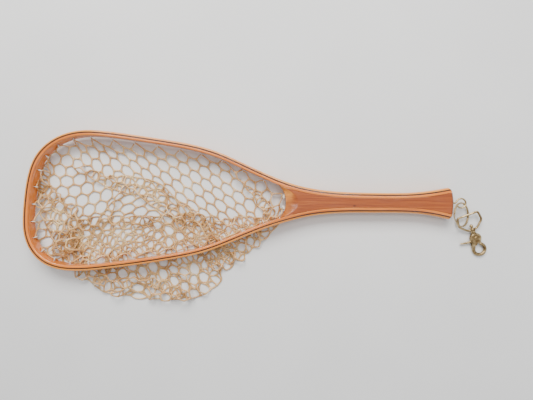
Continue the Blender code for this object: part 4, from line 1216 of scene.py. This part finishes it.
def snap_body():
    e = 1.0
    h = HEAD_T / 2
    head = lathe([(0, -h), (HEAD_R - e, -h)] + [(HEAD_R - e + e * math.sin(q), -h + e - e * math.cos(q)) for q in np.linspace(0.3, math.pi / 2, 5)]
                 + [(HEAD_R - e + e * math.cos(q), h - e + e * math.sin(q)) for q in np.linspace(0, math.pi / 2 - 0.3, 5)] + [(HEAD_R - e, h), (0, h)], 72)
    collar = on_axis(lathe([(0, 0), (3.75, 0), (3.45, 1.6), (3.15, 3.6), (3.25, 4.5), (3.05, 5.1), (2.3, 5.25), (0, 5.25)], 40), 6.4)
    # palm and hook as one limb that thins from the head round to the tip
    spine = [(-3.2, -1.0, 0), (-5.4, -5.2, 0), (-7.3, -9.4, 0)]
    angles = np.linspace(-52, HOOK_TO - 360, 30)
    line = curve_through(spine + [bow(a) for a in angles], 0.5)
    run = np.concatenate([[0], np.cumsum(np.linalg.norm(np.diff(line, axis=0), axis=1))])
    run /= run[-1]
    radius = np.interp(run, [0, 0.10, 0.22, 0.40, 0.8, 1.0], [3.2, 3.1, 2.85, 2.55, BOW_WIRE, BOW_WIRE - 0.05])
    hook = tube(line, radius, 28)
    palm = pillow(rounded([(-7.6, 2.0), (-8.7, -4.5), (-9.6, -9.5), (-9.6, -13.4), (-6.7, -13.6), (-4.6, -12.0), (-1.8, -10.7),
                           (0.6, -8.5), (4.4, -6.2), (5.6, -2.0), (0.0, 2.5)]), 5.6, 1.2)
    obj = united("snap_body_brass", [head, collar, palm, hook])
    slot_outline = [(-16.0, 1.3), (-6.6, 0.4)]
    slot_outline += disc(6.7, 176, 4, 24)
    slot_outline += [(9.9, -1.0)] + [(9.7 * math.cos(math.radians(a)), 9.7 * math.sin(math.radians(a))) for a in np.linspace(-20, -110, 14)]
    slot_outline += [(13.6 * math.cos(math.radians(a)), 13.6 * math.sin(math.radians(a))) for a in (-126, -133, -140, -146, -152, -158, -164)]
    cut(obj, raw_mesh("slot", *prism(slot_outline, -SLOT_T / 2, SLOT_T / 2)))
    cut(obj, raw_mesh("bore", *rod((0, 0, -8), (0, 0, 8), RIVET_R + 0.12, 40)))
    cut(obj, raw_mesh("bore", *rod((0, 7.4, 0), (0, 15.4, 0), STUD_R + 0.15, 32)))
    cast(obj, 0.25, 4)
    place(obj, SNAP_FRAME)
    return finish_piece(obj, "snap", "antique_brass", "snap_body", angle=0)


def trigger_gate():
    hub = pillow(disc(6.2, 0, 360, 64), PLATE_T, 0.35)
    lever = pillow(rounded([(-2.0, 3.4), (-4.8, 0.5), (-9.1, -1.1), (-17.0, -0.85), (-23.6, 0.15), (-25.0, -0.1), (-25.1, -1.1),
                            (-24.0, -1.75), (-17.0, -3.3), (-9.1, -4.7), (-4.6, -4.5), (-1.0, -5.2), (1.5, 0.0)], 0.5), PLATE_T - 0.02, 0.45)
    neck = pillow(rounded([(-0.5, -4.6), (1.2, -7.4), (2.9, -10.9), (4.4, -11.8), (6.3, -10.0), (6.0, -7.2), (5.2, -3.0), (2.0, -2.0)], 0.5), PLATE_T - 0.04, 0.3)
    line = np.array([bow(a) for a in np.linspace(GATE_FROM, GATE_TO, 90)])
    run = np.linspace(0, 1, 90)
    arm = tube(line, np.interp(run, [0, 0.3, 1], [GATE_WIRE - 0.1, GATE_WIRE, GATE_WIRE]), 28, round_ends=False)
    obj = united("trigger_gate_brass", [hub, lever, neck, arm])
    cut(obj, raw_mesh("bore", *rod((0, 0, -6), (0, 0, 6), RIVET_R + 0.12, 40)))
    cut(obj, raw_mesh("bore", *rod((0, 0, -0.5), (0, 0, 3.5), 4.2, 48)))
    cut(obj, raw_mesh("window", *prism([(0.0, 0.0), (5.6, 7.0), (0.0, 9.0), (-5.6, 7.0)], -0.5, 3.5)))
    cut(obj, raw_mesh("slit", *prism([(-3.0, -1.1), (-5.7, -1.1), (-5.7, -2.3), (-3.0, -2.3)], -0.5, 3.5)))
    cast(obj, 0.22, 3)
    place(obj, SNAP_FRAME)
    return finish_piece(obj, "trigger", "antique_brass", "trigger_gate", angle=0)


def gate_rivet():
    rim = HEAD_T / 2 + 0.05
    up = [(0.0, rim + 0.82)] + [(2.9 * math.sin(q), rim + 0.82 * math.cos(q) ** 1.4) for q in np.linspace(0.15, math.pi / 2, 10)]
    down = [(r, -z) for r, z in reversed(up)]
    points, faces = lathe(up + [(RIVET_R, rim - 0.01), (RIVET_R, -rim + 0.01)] + down, 48)
    obj = add("gate_rivet_brass", raw_mesh("gate_rivet_brass", points, faces), M_BRASS)
    place(obj, SNAP_FRAME)
    return finish_piece(obj, "snap", "antique_brass", "gate_rivet")


def gate_spring():
    coil, rise, low = 3.15, 0.62, -0.12
    points = [(-5.2, -1.7, low), (-4.6, -1.7, low), (-4.0, -1.7, low)]
    for a in np.linspace(0, 602, 90):
        angle = math.radians(208.0 + a)
        points.append((coil * math.cos(angle), coil * math.sin(angle), low + rise * a / 360))
    end = low + rise * 602 / 360
    points += [(-0.35, 4.6, end), (-0.35, 6.2, end)]
    shape = tube(curve_through(points, 0.16), 0.25, 12)
    obj = add("gate_spring_steel", raw_mesh("gate_spring_steel", *shape), M_STEEL)
    place(obj, SNAP_FRAME)
    soft_shade(obj, 40)
    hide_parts("gate_spring")
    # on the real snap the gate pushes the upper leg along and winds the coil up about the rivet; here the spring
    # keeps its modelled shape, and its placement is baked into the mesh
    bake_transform(obj)
    return obj


# ---------------------------------------------------------------- rubber bag
# The bag is one sheet of six-sided cells, sewn shut along its deepest line. It hangs from the cord, and here
# it has been laid down: let into the mouth, lowered on the table and drawn out under the lower side.
CELL = 11.5                # side of one cell
HEAD_SHARE, FAR_SHARE, NEAR_SHARE = 0.75, 1.0, 1.05
FLOOR_SLOPE = math.tan(math.radians(0.56))
FLOOR_AT = -6.8 + 400 * FLOOR_SLOPE
REST_R = 1.25              # half a strand, resting on the table
LOBE = np.array([(-478.0, -100.0), (-463.0, -116.0), (-430.0, -142.0), (-382.0, -153.5), (-330.0, -156.5),
                 (-286.0, -156.0), (-250.0, -148.0), (-215.0, -132.5), (-190.0, -114.5), (-164.0, -88.0),
                 (-146.0, -60.0), (-138.0, -36.0)])                  # how far the bag lies outside the lower side
SEAM = np.vstack([[(-452.0, -40.0), (-462.0, -75.0)], LOBE])         # where the closing seam comes to lie
NEAR_FOLD = np.array([(-520.0, -38.0), (-317.0, -32.0), (-149.0, -9.0), (-134.0, -11.0)])
FAR_FOLD = np.array([(-500.0, 62.0), (-455.0, 67.0), (-424.0, 67.3), (-365.0, 68.0), (-318.0, 48.6),
                     (-278.0, 29.4), (-255.0, 2.0), (-239.0, -17.5)])
MID_FOLD = np.array([(-515.0, 50.0), (-503.0, 46.8), (-444.0, 23.7), (-385.0, 8.6), (-333.0, -10.5),
                     (-302.0, -24.0), (-260.0, -38.0)])
ROW = CELL * math.sqrt(3)


def paths(held, head):
    """How deep the bag is below each loop of the cord: the length of the way the sheet takes from the hoop over
    its folds to the closing seam, with some slack."""
    out = []
    loops = len(held)
    total = np.hypot(*np.diff(SEAM, axis=0).T).sum()
    for i, (x, y) in enumerate(held[:, :2]):
        k = (i - head + loops / 2) % loops - loops / 2
        end = along(SEAM, np.array([min(1.0, abs(k) * 3 * CELL / total)]))[0]
        stops, slack, stretch = [np.array((x, y))], 0.0, []
        if i >= loops - 2:
            stops.append(end)
            slack, stretch = 2.0, [1.05]
        elif x < -513:
            stops += [np.array((-462.0, y * 0.9 - 2)), end]
            stretch = [1.5, 1.0]
        elif k < 0:
            line = stops[0] + (end - stops[0]) * np.linspace(0, 1, 200)[:, None]
            below = np.where(line[:, 1] < np.interp(line[:, 0], MID_FOLD[:, 0], MID_FOLD[:, 1]))[0]
            slack, stretch = 8.0, [1.0]
            if len(below) and -500 < line[below[0], 0] < -262:
                turn = line[below[0]]
                back = np.array((turn[0] + 8.0, np.interp(turn[0] + 8.0, FAR_FOLD[:, 0], FAR_FOLD[:, 1])))
                if back[1] - turn[1] > 6:
                    stops += [turn, back]
                    slack, stretch = 4.0, [1.0, 1.0, 1.0]
            stops.append(end)
        else:
            cross = max(-505.0, min(-150.0, x + (end[0] - x) * 0.35))
            stops += [np.array((cross, np.interp(cross, NEAR_FOLD[:, 0], NEAR_FOLD[:, 1]))), end]
            slack, stretch = 4.0, [1.12, 1.12]
        run = sum(f * np.hypot(*(q - p)) for p, q, f in zip(stops, stops[1:], stretch)) + slack
        share = 1.0 if x > -230 else HEAD_SHARE if x < -500 else FAR_SHARE if k < 0 else NEAR_SHARE
        out.append(run * share)
    out = np.array(out)
    return 0.25 * np.roll(out, 1) + 0.5 * out + 0.25 * np.roll(out, -1)


def ease(t):
    t = min(1.0, max(0.0, t))
    return t * t * (3 - 2 * t)


def along(line, t):
    d = np.concatenate([[0], np.cumsum(np.hypot(*np.diff(line, axis=0).T))])
    d /= d[-1]
    return np.stack([np.interp(t, d, line[:, 0]), np.interp(t, d, line[:, 1])], 1)


def groups(pairs, n):
    """Pairs sorted into groups in which no point appears twice."""
    used = [set() for _ in range(n)]
    group = np.zeros(len(pairs), int)
    for k, (i, j) in enumerate(pairs):
        c = 0
        while c in used[i] or c in used[j]:
            c += 1
        used[i].add(c)
        used[j].add(c)
        group[k] = c
    return [np.where(group == c)[0] for c in range(group.max() + 1)]


class Sheet:
    """The cells of the bag: points, strands, the seam and the points held by the cord."""

    def __init__(self):
        held = [(*PATH.at(s, LAMINATE + 2.7), 10.6) for s in HOLES]
        held += [(throat(12.5) - 4.0, -12.5, 10.5), (throat(12.5) - 4.0, 12.5, 10.5)]
        self.held = np.array(held)
        loops = len(held)
        self.columns = loops * 2
        self.head = int(np.argmin(self.held[:, 0]))
        wrap, index, keys, cells = 3 * self.columns, {}, [], []
        deep = paths(held=self.held, head=self.head)

        def point(a, b):
            key = (a % wrap, b)
            if key not in index:
                index[key] = len(keys)
                keys.append(key)
            return index[key]

        for c in range(self.columns):
            i, f = int(c / 2) % loops, c / 2 - int(c / 2)
            for r in range(max(3, int(round((deep[i] * (1 - f) + deep[(i + 1) % loops] * f) / ROW)))):
                h, x = 2 * r + c % 2, 3 * c
                cells.append([point(x + 1, h - 1), point(x + 2, h), point(x + 1, h + 1),
                              point(x - 1, h + 1), point(x - 2, h), point(x - 1, h - 1)])
        keys = np.array(keys)
        edge = np.array(sorted({tuple(sorted((cell[a], cell[(a + 1) % 6]))) for cell in cells for a in range(6)}))
        # the seam joins the deepest point of each column with that of its mirror image about the head
        deepest = {}
        for i, (a, b) in enumerate(keys):
            if a not in deepest or keys[deepest[a], 1] < b:
                deepest[int(a)] = i
        free = sorted(deepest.values())
        root = np.arange(len(keys))
        for a, i in deepest.items():
            j = deepest.get((12 * self.head - a) % wrap)
            if j is not None and j != i:
                root[max(i, j)] = min(i, j)
        kept, new = np.unique(root, return_inverse=True)
        edge = new[edge]
        edge = np.unique(np.sort(edge[edge[:, 0] != edge[:, 1]], 1), axis=0)
        cells = [[int(new[v]) for v in cell] for cell in cells]
        self.keys = keys[kept]
        self.seam = np.array(sorted({int(new[v]) for v in free}))
        n = len(kept)
        pairs, length = [tuple(int(v) for v in e) for e in edge], [CELL] * len(edge)
        for k in range(loops):
            a, b = int(new[index[((6 * k + 1) % wrap, -1)]]), int(new[index[((6 * k - 1) % wrap, -1)]])
            q = pairs.index((min(a, b), max(a, b)))
            pairs.pop(q)
            length.pop(q)
            pairs += [(a, n + k), (b, n + k)]
            length += [CELL / 2 * 1.12] * 2
        self.edge, self.length, self.n = np.array(pairs), np.array(length, float), n + loops
        self.pins = np.arange(n, n + loops)
        self.column = np.concatenate([self.keys[:, 0] / 3.0, 2.0 * np.arange(loops)])
        self.depth = np.concatenate([(self.keys[:, 1] + 1) * math.sqrt(3) / 2 * CELL, np.zeros(loops)])
        second, third = {}, {}
        for cell in cells:
            for a in range(6):
                i, j = sorted((cell[a], cell[(a + 2) % 6]))
                if i != j:
                    second[(i, j)] = math.sqrt(3) * CELL
            for a in range(3):
                i, j = sorted((cell[a], cell[a + 3]))
                if i != j:
                    third[(i, j)] = 2 * CELL
        self.brace = np.array(list(second) + list(third))
        self.brace_length = np.array(list(second.values()) + list(third.values()))
        self.edge_groups, self.brace_groups = groups(self.edge, self.n), groups(self.brace, self.n)

    def rim(self):
        t = (self.column / 2) % len(self.held)
        i = np.floor(t).astype(int) % len(self.held)
        f = (t - np.floor(t))[:, None]
        return self.held[i, :2] * (1 - f) + self.held[(i + 1) % len(self.held), :2] * f


class Field:
    """How far a point lies to the inner side of a line, and which way inward is, on a 1 mm raster."""

    def __init__(self, line, normal):
        self.x, self.y = -545.0, -180.0
        xs, ys = np.arange(self.x, -94.0), np.arange(self.y, 126.0)
        gx, gy = np.meshgrid(xs, ys, indexing="ij")
        q = np.stack([gx.ravel(), gy.ravel()], 1)
        depth, way = np.zeros(len(q)), np.zeros((len(q), 2))
        for k in range(0, len(q), 20000):
            part = q[k:k + 20000]
            near = ((part[:, None] - line[None]) ** 2).sum(-1).argmin(1)
            depth[k:k + 20000] = ((part - line[near]) * normal[near]).sum(1)
            way[k:k + 20000] = normal[near]
        self.depth, self.way = depth.reshape(gx.shape), way.reshape(*gx.shape, 2)

    def at(self, p):
        i = np.clip((p[:, 0] - self.x).round().astype(int), 0, self.depth.shape[0] - 1)
        j = np.clip((p[:, 1] - self.y).round().astype(int), 0, self.depth.shape[1] - 1)
        return self.depth[i, j], self.way[i, j]


def fields():
    t = PATH.t[::12]
    hoop = Field(PATH.p[::12], np.stack([-t[:, 1], t[:, 0]], 1))
    rim = np.array([PATH.at(v, LAMINATE * 0.45) for v in np.linspace(S_NEAR + 2, S_FAR - 2, 1400)])
    rim = rim[:np.where((rim[:, 1] < 0) & (rim[:, 0] > -486))[0][0]]
    line = along(np.vstack([rim, along(LOBE, np.linspace(0.02, 1, 500)), [(-132, -27)]]), np.linspace(0, 1, 3000))
    t = np.gradient(line, axis=0)
    t /= np.linalg.norm(t, axis=1)[:, None]
    normal = np.stack([-t[:, 1], t[:, 0]], 1)
    return hoop, Field(line[::4], normal[::4])


def close_pairs(p, r):
    c = np.floor(p / r).astype(np.int64)
    c -= c.min(0) - 1
    n = c.max(0) + 2
    key = (c[:, 0] * n[1] + c[:, 1]) * n[2] + c[:, 2]
    order = np.argsort(key, kind="stable")
    key = key[order]
    steps = [(0, 0, 0)] + [(1, a, b) for a in (-1, 0, 1) for b in (-1, 0, 1)]
    steps += [(0, 1, b) for b in (-1, 0, 1)] + [(0, 0, 1)]
    index, out = np.arange(len(p)), []
    for a, b, d in steps:
        off = (a * n[1] + b) * n[2] + d
        low, high = np.searchsorted(key, key + off, "left"), np.searchsorted(key, key + off, "right")
        if off == 0:
            low = np.minimum(index + 1, high)
        m = np.maximum(0, high - low)
        if m.sum() == 0:
            continue
        i = np.repeat(index, m)
        j = np.repeat(low - np.concatenate([[0], np.cumsum(m)[:-1]]), m) + np.arange(m.sum())
        out.append(np.stack([order[i], order[j]], 1))
    return np.vstack(out) if out else np.zeros((0, 2), int)


def lay_bag(sheet, steps, settle, passes):
    """Lowers the bag, draws its seam out under the lower side, and lets it come to rest."""
    rng = np.random.default_rng(5)
    hoop, fence = fields()
    n, depth, rim = sheet.n, sheet.depth, sheet.rim()
    mid = np.array([-325.0, 0.0])
    x = np.zeros((n, 3))
    x[:, :2] = mid + (rim - mid) * (1 - 0.25 * np.clip(depth / 320, 0, 1))[:, None]
    x[:, 2] = 10 - depth * 0.98
    x[:, 1] *= 1 - 0.8 * np.clip((depth - 150) / 170, 0, 1)
    x += rng.normal(0, 0.6, x.shape)
    x[sheet.pins] = sheet.held
    v = np.zeros_like(x)
    free = np.ones(n)
    free[sheet.pins] = 0
    # the seam follows its own line
    wrap = 3 * sheet.columns
    t = np.abs((sheet.keys[sheet.seam, 0] - 6 * sheet.head + wrap / 2) % wrap - wrap / 2) / (wrap / 2)
    sewn = sheet.seam[(t > 0) & (t < 1)]
    goal = along(SEAM, t[(t > 0) & (t < 1)])
    start = x[sewn, :2].copy()
    # folds that a hand has smoothed
    guides = []
    for line, side, extra, band, height, low, high in ((NEAR_FOLD, -1, 3.0, 8.0, 6.0, -480, -170),
                                                      (MID_FOLD, 1, 5.0, 8.0, 4.0, -455, -285)):
        y = np.interp(rim[:, 0], line[:, 0], line[:, 1])
        ok = (np.sign(rim[:, 1] - y) == side) & (np.abs(depth - np.abs(rim[:, 1] - y) - extra) < band)
        i = np.where(ok & (rim[:, 0] > low) & (rim[:, 0] < high) & (free > 0))[0]
        guides.append((i, np.stack([rim[i, 0], y[i], np.full(len(i), height)], 1), np.array([0.25, 1.0, 1.0])))
    y2, y3 = (np.interp(rim[:, 0], q[:, 0], q[:, 1]) for q in (MID_FOLD, FAR_FOLD))
    run = np.abs(rim[:, 1] - y2) + 5 + np.maximum(0, y3 - y2)
    i = np.where((rim[:, 1] > y3) & (np.abs(depth - run) < 8) & (rim[:, 0] > -455) & (rim[:, 0] < -285))[0]
    guides.append((i, np.stack([rim[i, 0], y3[i], np.zeros(len(i))], 1), np.array([0.25, 1.0, 1.0])))
    across = np.abs((sheet.column - 2 * sheet.head + sheet.columns / 2) % sheet.columns - sheet.columns / 2)
    i = np.where((across < 3.6) & (depth <= 99) & (free > 0))[0]
    f = depth[i] / 99
    guides.append((i, np.stack([rim[i, 0] * (1 - f) - 462 * f, rim[i, 1], 8 - 13 * f], 1), np.array([0.5, 0.3, 0.2])))
    a_end, b_end = sheet.edge[:, 0], sheet.edge[:, 1]
    springs = [(sheet.edge[g, 0], sheet.edge[g, 1], sheet.length[g]) for g in sheet.edge_groups]
    braces = [(sheet.brace[g, 0], sheet.brace[g, 1], sheet.brace_length[g]) for g in sheet.brace_groups]
    owner = np.vstack([np.stack([np.arange(n)] * 2, 1), sheet.edge])
    pairs = np.zeros((0, 2), int)
    reach = 2.7
    for k in range(steps + settle):
        q = min(1.0, k / (steps * 0.92))
        sunk = -345.0 * (1 - q) ** 1.6
        drag = ease((k / steps - 0.05) / 0.70)
        v *= 0.93 if k < steps else 0.86
        v[:, 2] -= 0.35
        v[free == 0] = 0
        speed = np.linalg.norm(v, axis=1)
        v[speed > 6] *= (6 / speed[speed > 6])[:, None]
        p = x + v
        if k % 2 == 0:
            pairs = close_pairs(np.vstack([p, (p[a_end] + p[b_end]) / 2]), reach * 1.25)
            a, b = owner[pairs[:, 0]], owner[pairs[:, 1]]
            same = (a[:, 0] == b[:, 0]) | (a[:, 0] == b[:, 1]) | (a[:, 1] == b[:, 0]) | (a[:, 1] == b[:, 1])
            pairs = pairs[~same]
        for turn in range(passes):
            for i, j, length in springs:
                d = p[j] - p[i]
                l = np.sqrt((d * d).sum(1)) + 1e-9
                s = (l - length) / l / (free[i] + free[j] + 1e-9)
                d *= np.where(l < length, s * 0.6, s)[:, None]
                p[i] += d * free[i][:, None]
                p[j] -= d * free[j][:, None]
            if turn % 3 == 0:
                for i, j, length in braces:
                    d = p[j] - p[i]
                    l = np.sqrt((d * d).sum(1)) + 1e-9
                    d *= (0.03 * (l - length) / l / (free[i] + free[j] + 1e-9))[:, None]
                    p[i] += d * free[i][:, None]
                    p[j] -= d * free[j][:, None]
            if turn in (3, passes - 1) and len(pairs):
                a, b = owner[pairs[:, 0]], owner[pairs[:, 1]]
                d = (p[b[:, 0]] + p[b[:, 1]]) / 2 - (p[a[:, 0]] + p[a[:, 1]]) / 2
                l = np.sqrt((d * d).sum(1)) + 1e-9
                hit = l < reach
                if hit.any():
                    a, b, d, l = a[hit], b[hit], d[hit], l[hit]
                    push = d * ((reach - l) / l * 0.5)[:, None]
                    total, count = np.zeros_like(p), np.zeros(n)
                    for c in (0, 1):
                        np.add.at(total, a[:, c], -push / 2)
                        np.add.at(total, b[:, c], push / 2)
                        np.add.at(count, a[:, c], 1)
                        np.add.at(count, b[:, c], 1)
                    p += total * (free / np.maximum(1, count * 0.5))[:, None]
        if k < steps + settle * 0.91:
            p[sewn, :2] += (start * (1 - drag) + goal * drag - p[sewn, :2]) * 0.35
        # wood of the hoop
        inward, way = hoop.at(p)
        z = p[:, 2]
        touch = (inward > -1.4) & (inward < LAMINATE + 1.4) & (p[:, 0] < -100) & (free > 0) & (z > -1.4) & (z < 23)
        side = touch & (inward > LAMINATE * 0.5) & (z > 2.5)
        under = touch & ~side
        p[side, :2] += way[side] * (LAMINATE + 1.4 - inward[side])[:, None] * 0.6
        p[under, 2] += np.maximum(-1.4 - p[under, 2], -2.5)
        # nothing spills out anywhere but under the lower side
        inner, turn_in = fence.at(p)
        out = (inner < 0.5) & (free > 0) & (z < 8)
        p[out, :2] += turn_in[out] * np.minimum(0.5 - inner[out], 6.0)[:, None] * 0.5
        late = (k - steps - settle * 0.45) / (settle * 0.45)
        hold = 1 - ease(late) if late > 0 else ease(drag * 1.5 - 0.3)
        if hold > 0.002:
            for i, place, weight in guides:
                p[i] += (place - p[i]) * (0.2 * hold * weight)
        # the throat
        scoop = THROAT_X - THROAT_R + np.sqrt(THROAT_R ** 2 - np.minimum(np.abs(p[:, 1]), 27.0) ** 2) - 1.4
        core = (np.abs(p[:, 1]) < 27) & (p[:, 0] > scoop) & (z > -1.4) & (z < 23) & (free > 0) & (inward > 0)
        p[core & (z < 6), 2] = -1.4
        p[core & (z >= 6), 0] = scoop[core & (z >= 6)]
        ground = FLOOR_AT + FLOOR_SLOPE * p[:, 0] + REST_R + sunk
        low = p[:, 2] < ground
        p[low, 2] = ground[low]
        v = p - x
        v[low, :2] *= 0.55
        v[low, 2] = 0
        x = np.round(p, 4)
    return x


def strands(x, edge, r):
    """One closed skin over all strands. Each strand is a square tube that is rounded afterwards; where strands
    meet, the corners of the tubes are shared, which leaves the small webs of a moulded net."""
    n = len(x)
    near = [[] for _ in range(n)]
    for i, j in edge:
        near[i].append(int(j))
        near[j].append(int(i))
    points, faces, ring = [], [], {}
    for a in range(n):
        if not near[a]:
            continue
        p = x[a]
        way = unit(x[near[a]] - p)
        k = len(way)
        span = min(np.linalg.norm(x[j] - p) for j in near[a])
        if k >= 3:
            if k == 3:
                normal = np.cross(way[1] - way[0], way[2] - way[0])
            else:
                centred = way - way.mean(0)
                normal = np.linalg.svd(centred)[2][2]
            if np.linalg.norm(normal) < 1e-3:
                normal = np.array((0.0, 0.0, 1.0))
        else:
            t = unit(way[1] - way[0]) if k == 2 else way[0]
            normal = np.array((0.0, 0.0, 1.0)) - t * t[2]
            if np.linalg.norm(normal) < 0.3:
                normal = np.array((1.0, 0.0, 0.0)) - t * t[0]
        normal = unit(normal)
        if normal[2] < 0:
            normal = -normal
        u = way[0] - normal * (way[0] @ normal)
        if np.linalg.norm(u) < 1e-3:
            u = np.array((1.0, 0.0, 0.0)) - normal * normal[0]
        u = unit(u)
        w = np.cross(normal, u)
        angle = np.arctan2(way @ w, way @ u)
        order = np.argsort(angle, kind="stable")
        angle = angle[order]
        base = len(points)
        for i in range(k):
            gap = (angle[(i + 1) % k] - angle[i]) % (2 * math.pi)
            if k == 1:
                gap = math.pi
            if k == 2 and abs(gap) < 1e-6:
                gap = math.pi
            half = gap / 2
            mid = angle[i] + half
            g = r / max(0.42, math.sin(half)) if half < math.pi / 2 else r / max(0.75, math.sin(half))
            g *= 1.22 if k >= 3 else 1.0
            g = min(g, 0.36 * span)
            out = math.cos(mid) * u + math.sin(mid) * w
            points.append(p + out * g + normal * r)
            points.append(p + out * g - normal * r)
        if k == 1:
            points.append(p - (math.cos(angle[0] + math.pi / 2) * u + math.sin(angle[0] + math.pi / 2) * w) * r + normal * r)
            points.append(p - (math.cos(angle[0] + math.pi / 2) * u + math.sin(angle[0] + math.pi / 2) * w) * r - normal * r)
            ring[(a, near[a][0])] = [base, base + 1, base + 3, base + 2]
            faces.append((base, base + 1, base + 3, base + 2))
            continue
        for i in range(k):
            last = (i - 1) % k
            ring[(a, near[a][order[i]])] = [base + 2 * last, base + 2 * last + 1, base + 2 * i + 1, base + 2 * i]
        if k >= 3:
            faces.append(tuple(base + 2 * i for i in range(k)))
            faces.append(tuple(base + 2 * i + 1 for i in range(k))[::-1])
    for i, j in edge:
        i, j = int(i), int(j)
        one, two = ring[(i, j)], ring[(j, i)][::-1]
        t = unit(x[j] - x[i])
        mid = (x[i] + x[j]) / 2
        a = np.array([points[q] for q in one]) - x[i]
        b = np.array([points[q] for q in two]) - x[j]
        a, b = unit(a - np.outer(a @ t, t)), unit(b - np.outer(b @ t, t))
        turn = max(range(4), key=lambda s: (a * np.roll(b, -s, 0)).sum())
        two = [two[(q + turn) % 4] for q in range(4)]
        b = np.roll(b, -turn, 0)
        c = a + b
        c = unit(c - c.mean(0))
        base = len(points)
        for q in range(4):
            points.append(mid + c[q] * r * 1.33)
        for q in range(4):
            s = (q + 1) % 4
            faces.append((one[q], one[s], base + s, base + q))
            faces.append((base + q, base + s, two[s], two[q]))
    return np.array(points), faces


def net():
    sheet = Sheet()
    x = lay_bag(sheet, *(((500, 220, 10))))
    points, faces = strands(x, sheet.edge, 1.16)
    obj = add("net_bag_mesh", raw_mesh("net_bag_mesh", points, faces), M_RUBBER)
    mod = obj.modifiers.new("round", "SUBSURF")
    mod.levels = mod.render_levels = 1
    bake(obj)
    print("net: %d points, %d strands, %d faces" % (sheet.n, len(sheet.edge), len(obj.data.polygons)))
    finish_piece(obj, "frame", "net_rubber", "net_bag", angle=0)


# ---------------------------------------------------------------- everything in place
ply("outer_ply_wood", 0.0, OUTER_T, M_OUTER, "outer_ply_wood", groove=True)
ply("middle_ply_wood", OUTER_T + GLUE, OUTER_T + GLUE + MIDDLE_T, M_MIDDLE, "middle_ply_wood")
ply("inner_ply_wood", LAMINATE - INNER_T, LAMINATE, M_INNER, "inner_ply_wood")
handle_core(M_CORE)
lacing()
screw_eye()
split_ring()
swivel_bail()
swivel_stud()
snap_body()
trigger_gate()
gate_rivet()
gate_spring()
net()


# ---------------------------------------------------------------- floor, light and camera
def floor():
    """A plain pale table top. It rises a little towards the hanger, which lies on it."""
    n, size = 2, 9.0
    points, faces = [], []
    for x, y in ((-size, -size), (size, -size), (size, size), (-size, size)):
        points.append((x / MM, y / MM, FLOOR_AT + FLOOR_SLOPE * x / MM))
    mesh = raw_mesh("floor", points, [(0, 1, 2, 3)], repair=False)
    g = Graph("floor_matt")
    at = g.place()
    grain = g.noise(g.scaled(at, (700, 700, 700)), 1.0, 3.0, 0.6)
    cloud = g.noise(g.scaled(at, (5, 5, 5)), 1.0, 2.0, 0.5)
    g.set(Base_Color=g.ramp(cloud, (0.3, (0.80, 0.80, 0.79)), (0.7, (0.84, 0.84, 0.83))), Roughness=0.85,
          Specular_IOR_Level=0.25, Normal=g.bump(grain, 0.06, 0.0003))
    obj = add("floor", mesh, g.mat)


def area_light(name, place, at, size, power, colour=(1, 1, 1)):
    data = bpy.data.lights.new(name, "AREA")
    data.shape = "RECTANGLE"
    data.size, data.size_y = size
    data.energy = power
    data.color = colour
    obj = bpy.data.objects.new(name, data)
    SCENE.collection.objects.link(obj)
    obj.location = place
    obj.rotation_euler = (Vector(at) - Vector(place)).to_track_quat("-Z", "Y").to_euler()
    return obj


floor()
area_light("window", (-0.35, 1.25, 1.35), (-0.25, 0.0, 0.0), (1.6, 0.9), 56, (1.0, 0.985, 0.96))
area_light("fill", (0.9, -0.9, 1.2), (-0.15, 0.0, 0.0), (1.4, 1.4), 8, (0.94, 0.97, 1.0))
area_light("strip", (-0.2, 0.35, 1.7), (-0.2, 0.0, 0.0), (1.9, 0.30), 8)
world = bpy.data.worlds.new("studio")
world.use_nodes = True
world.node_tree.nodes["Background"].inputs[0].default_value = (0.93, 0.95, 1.0, 1)
world.node_tree.nodes["Background"].inputs[1].default_value = 0.40
SCENE.world = world

camera_data = bpy.data.cameras.new("camera")
camera_data.sensor_width = 36.0
camera_data.lens = 26.53
camera_data.clip_start = 0.02
camera = bpy.data.objects.new("camera", camera_data)
SCENE.collection.objects.link(camera)
camera.location = (-0.1581, 0.0030, 0.622)
camera.rotation_euler = (0.0, 0.0, math.radians(0.573))
SCENE.camera = camera
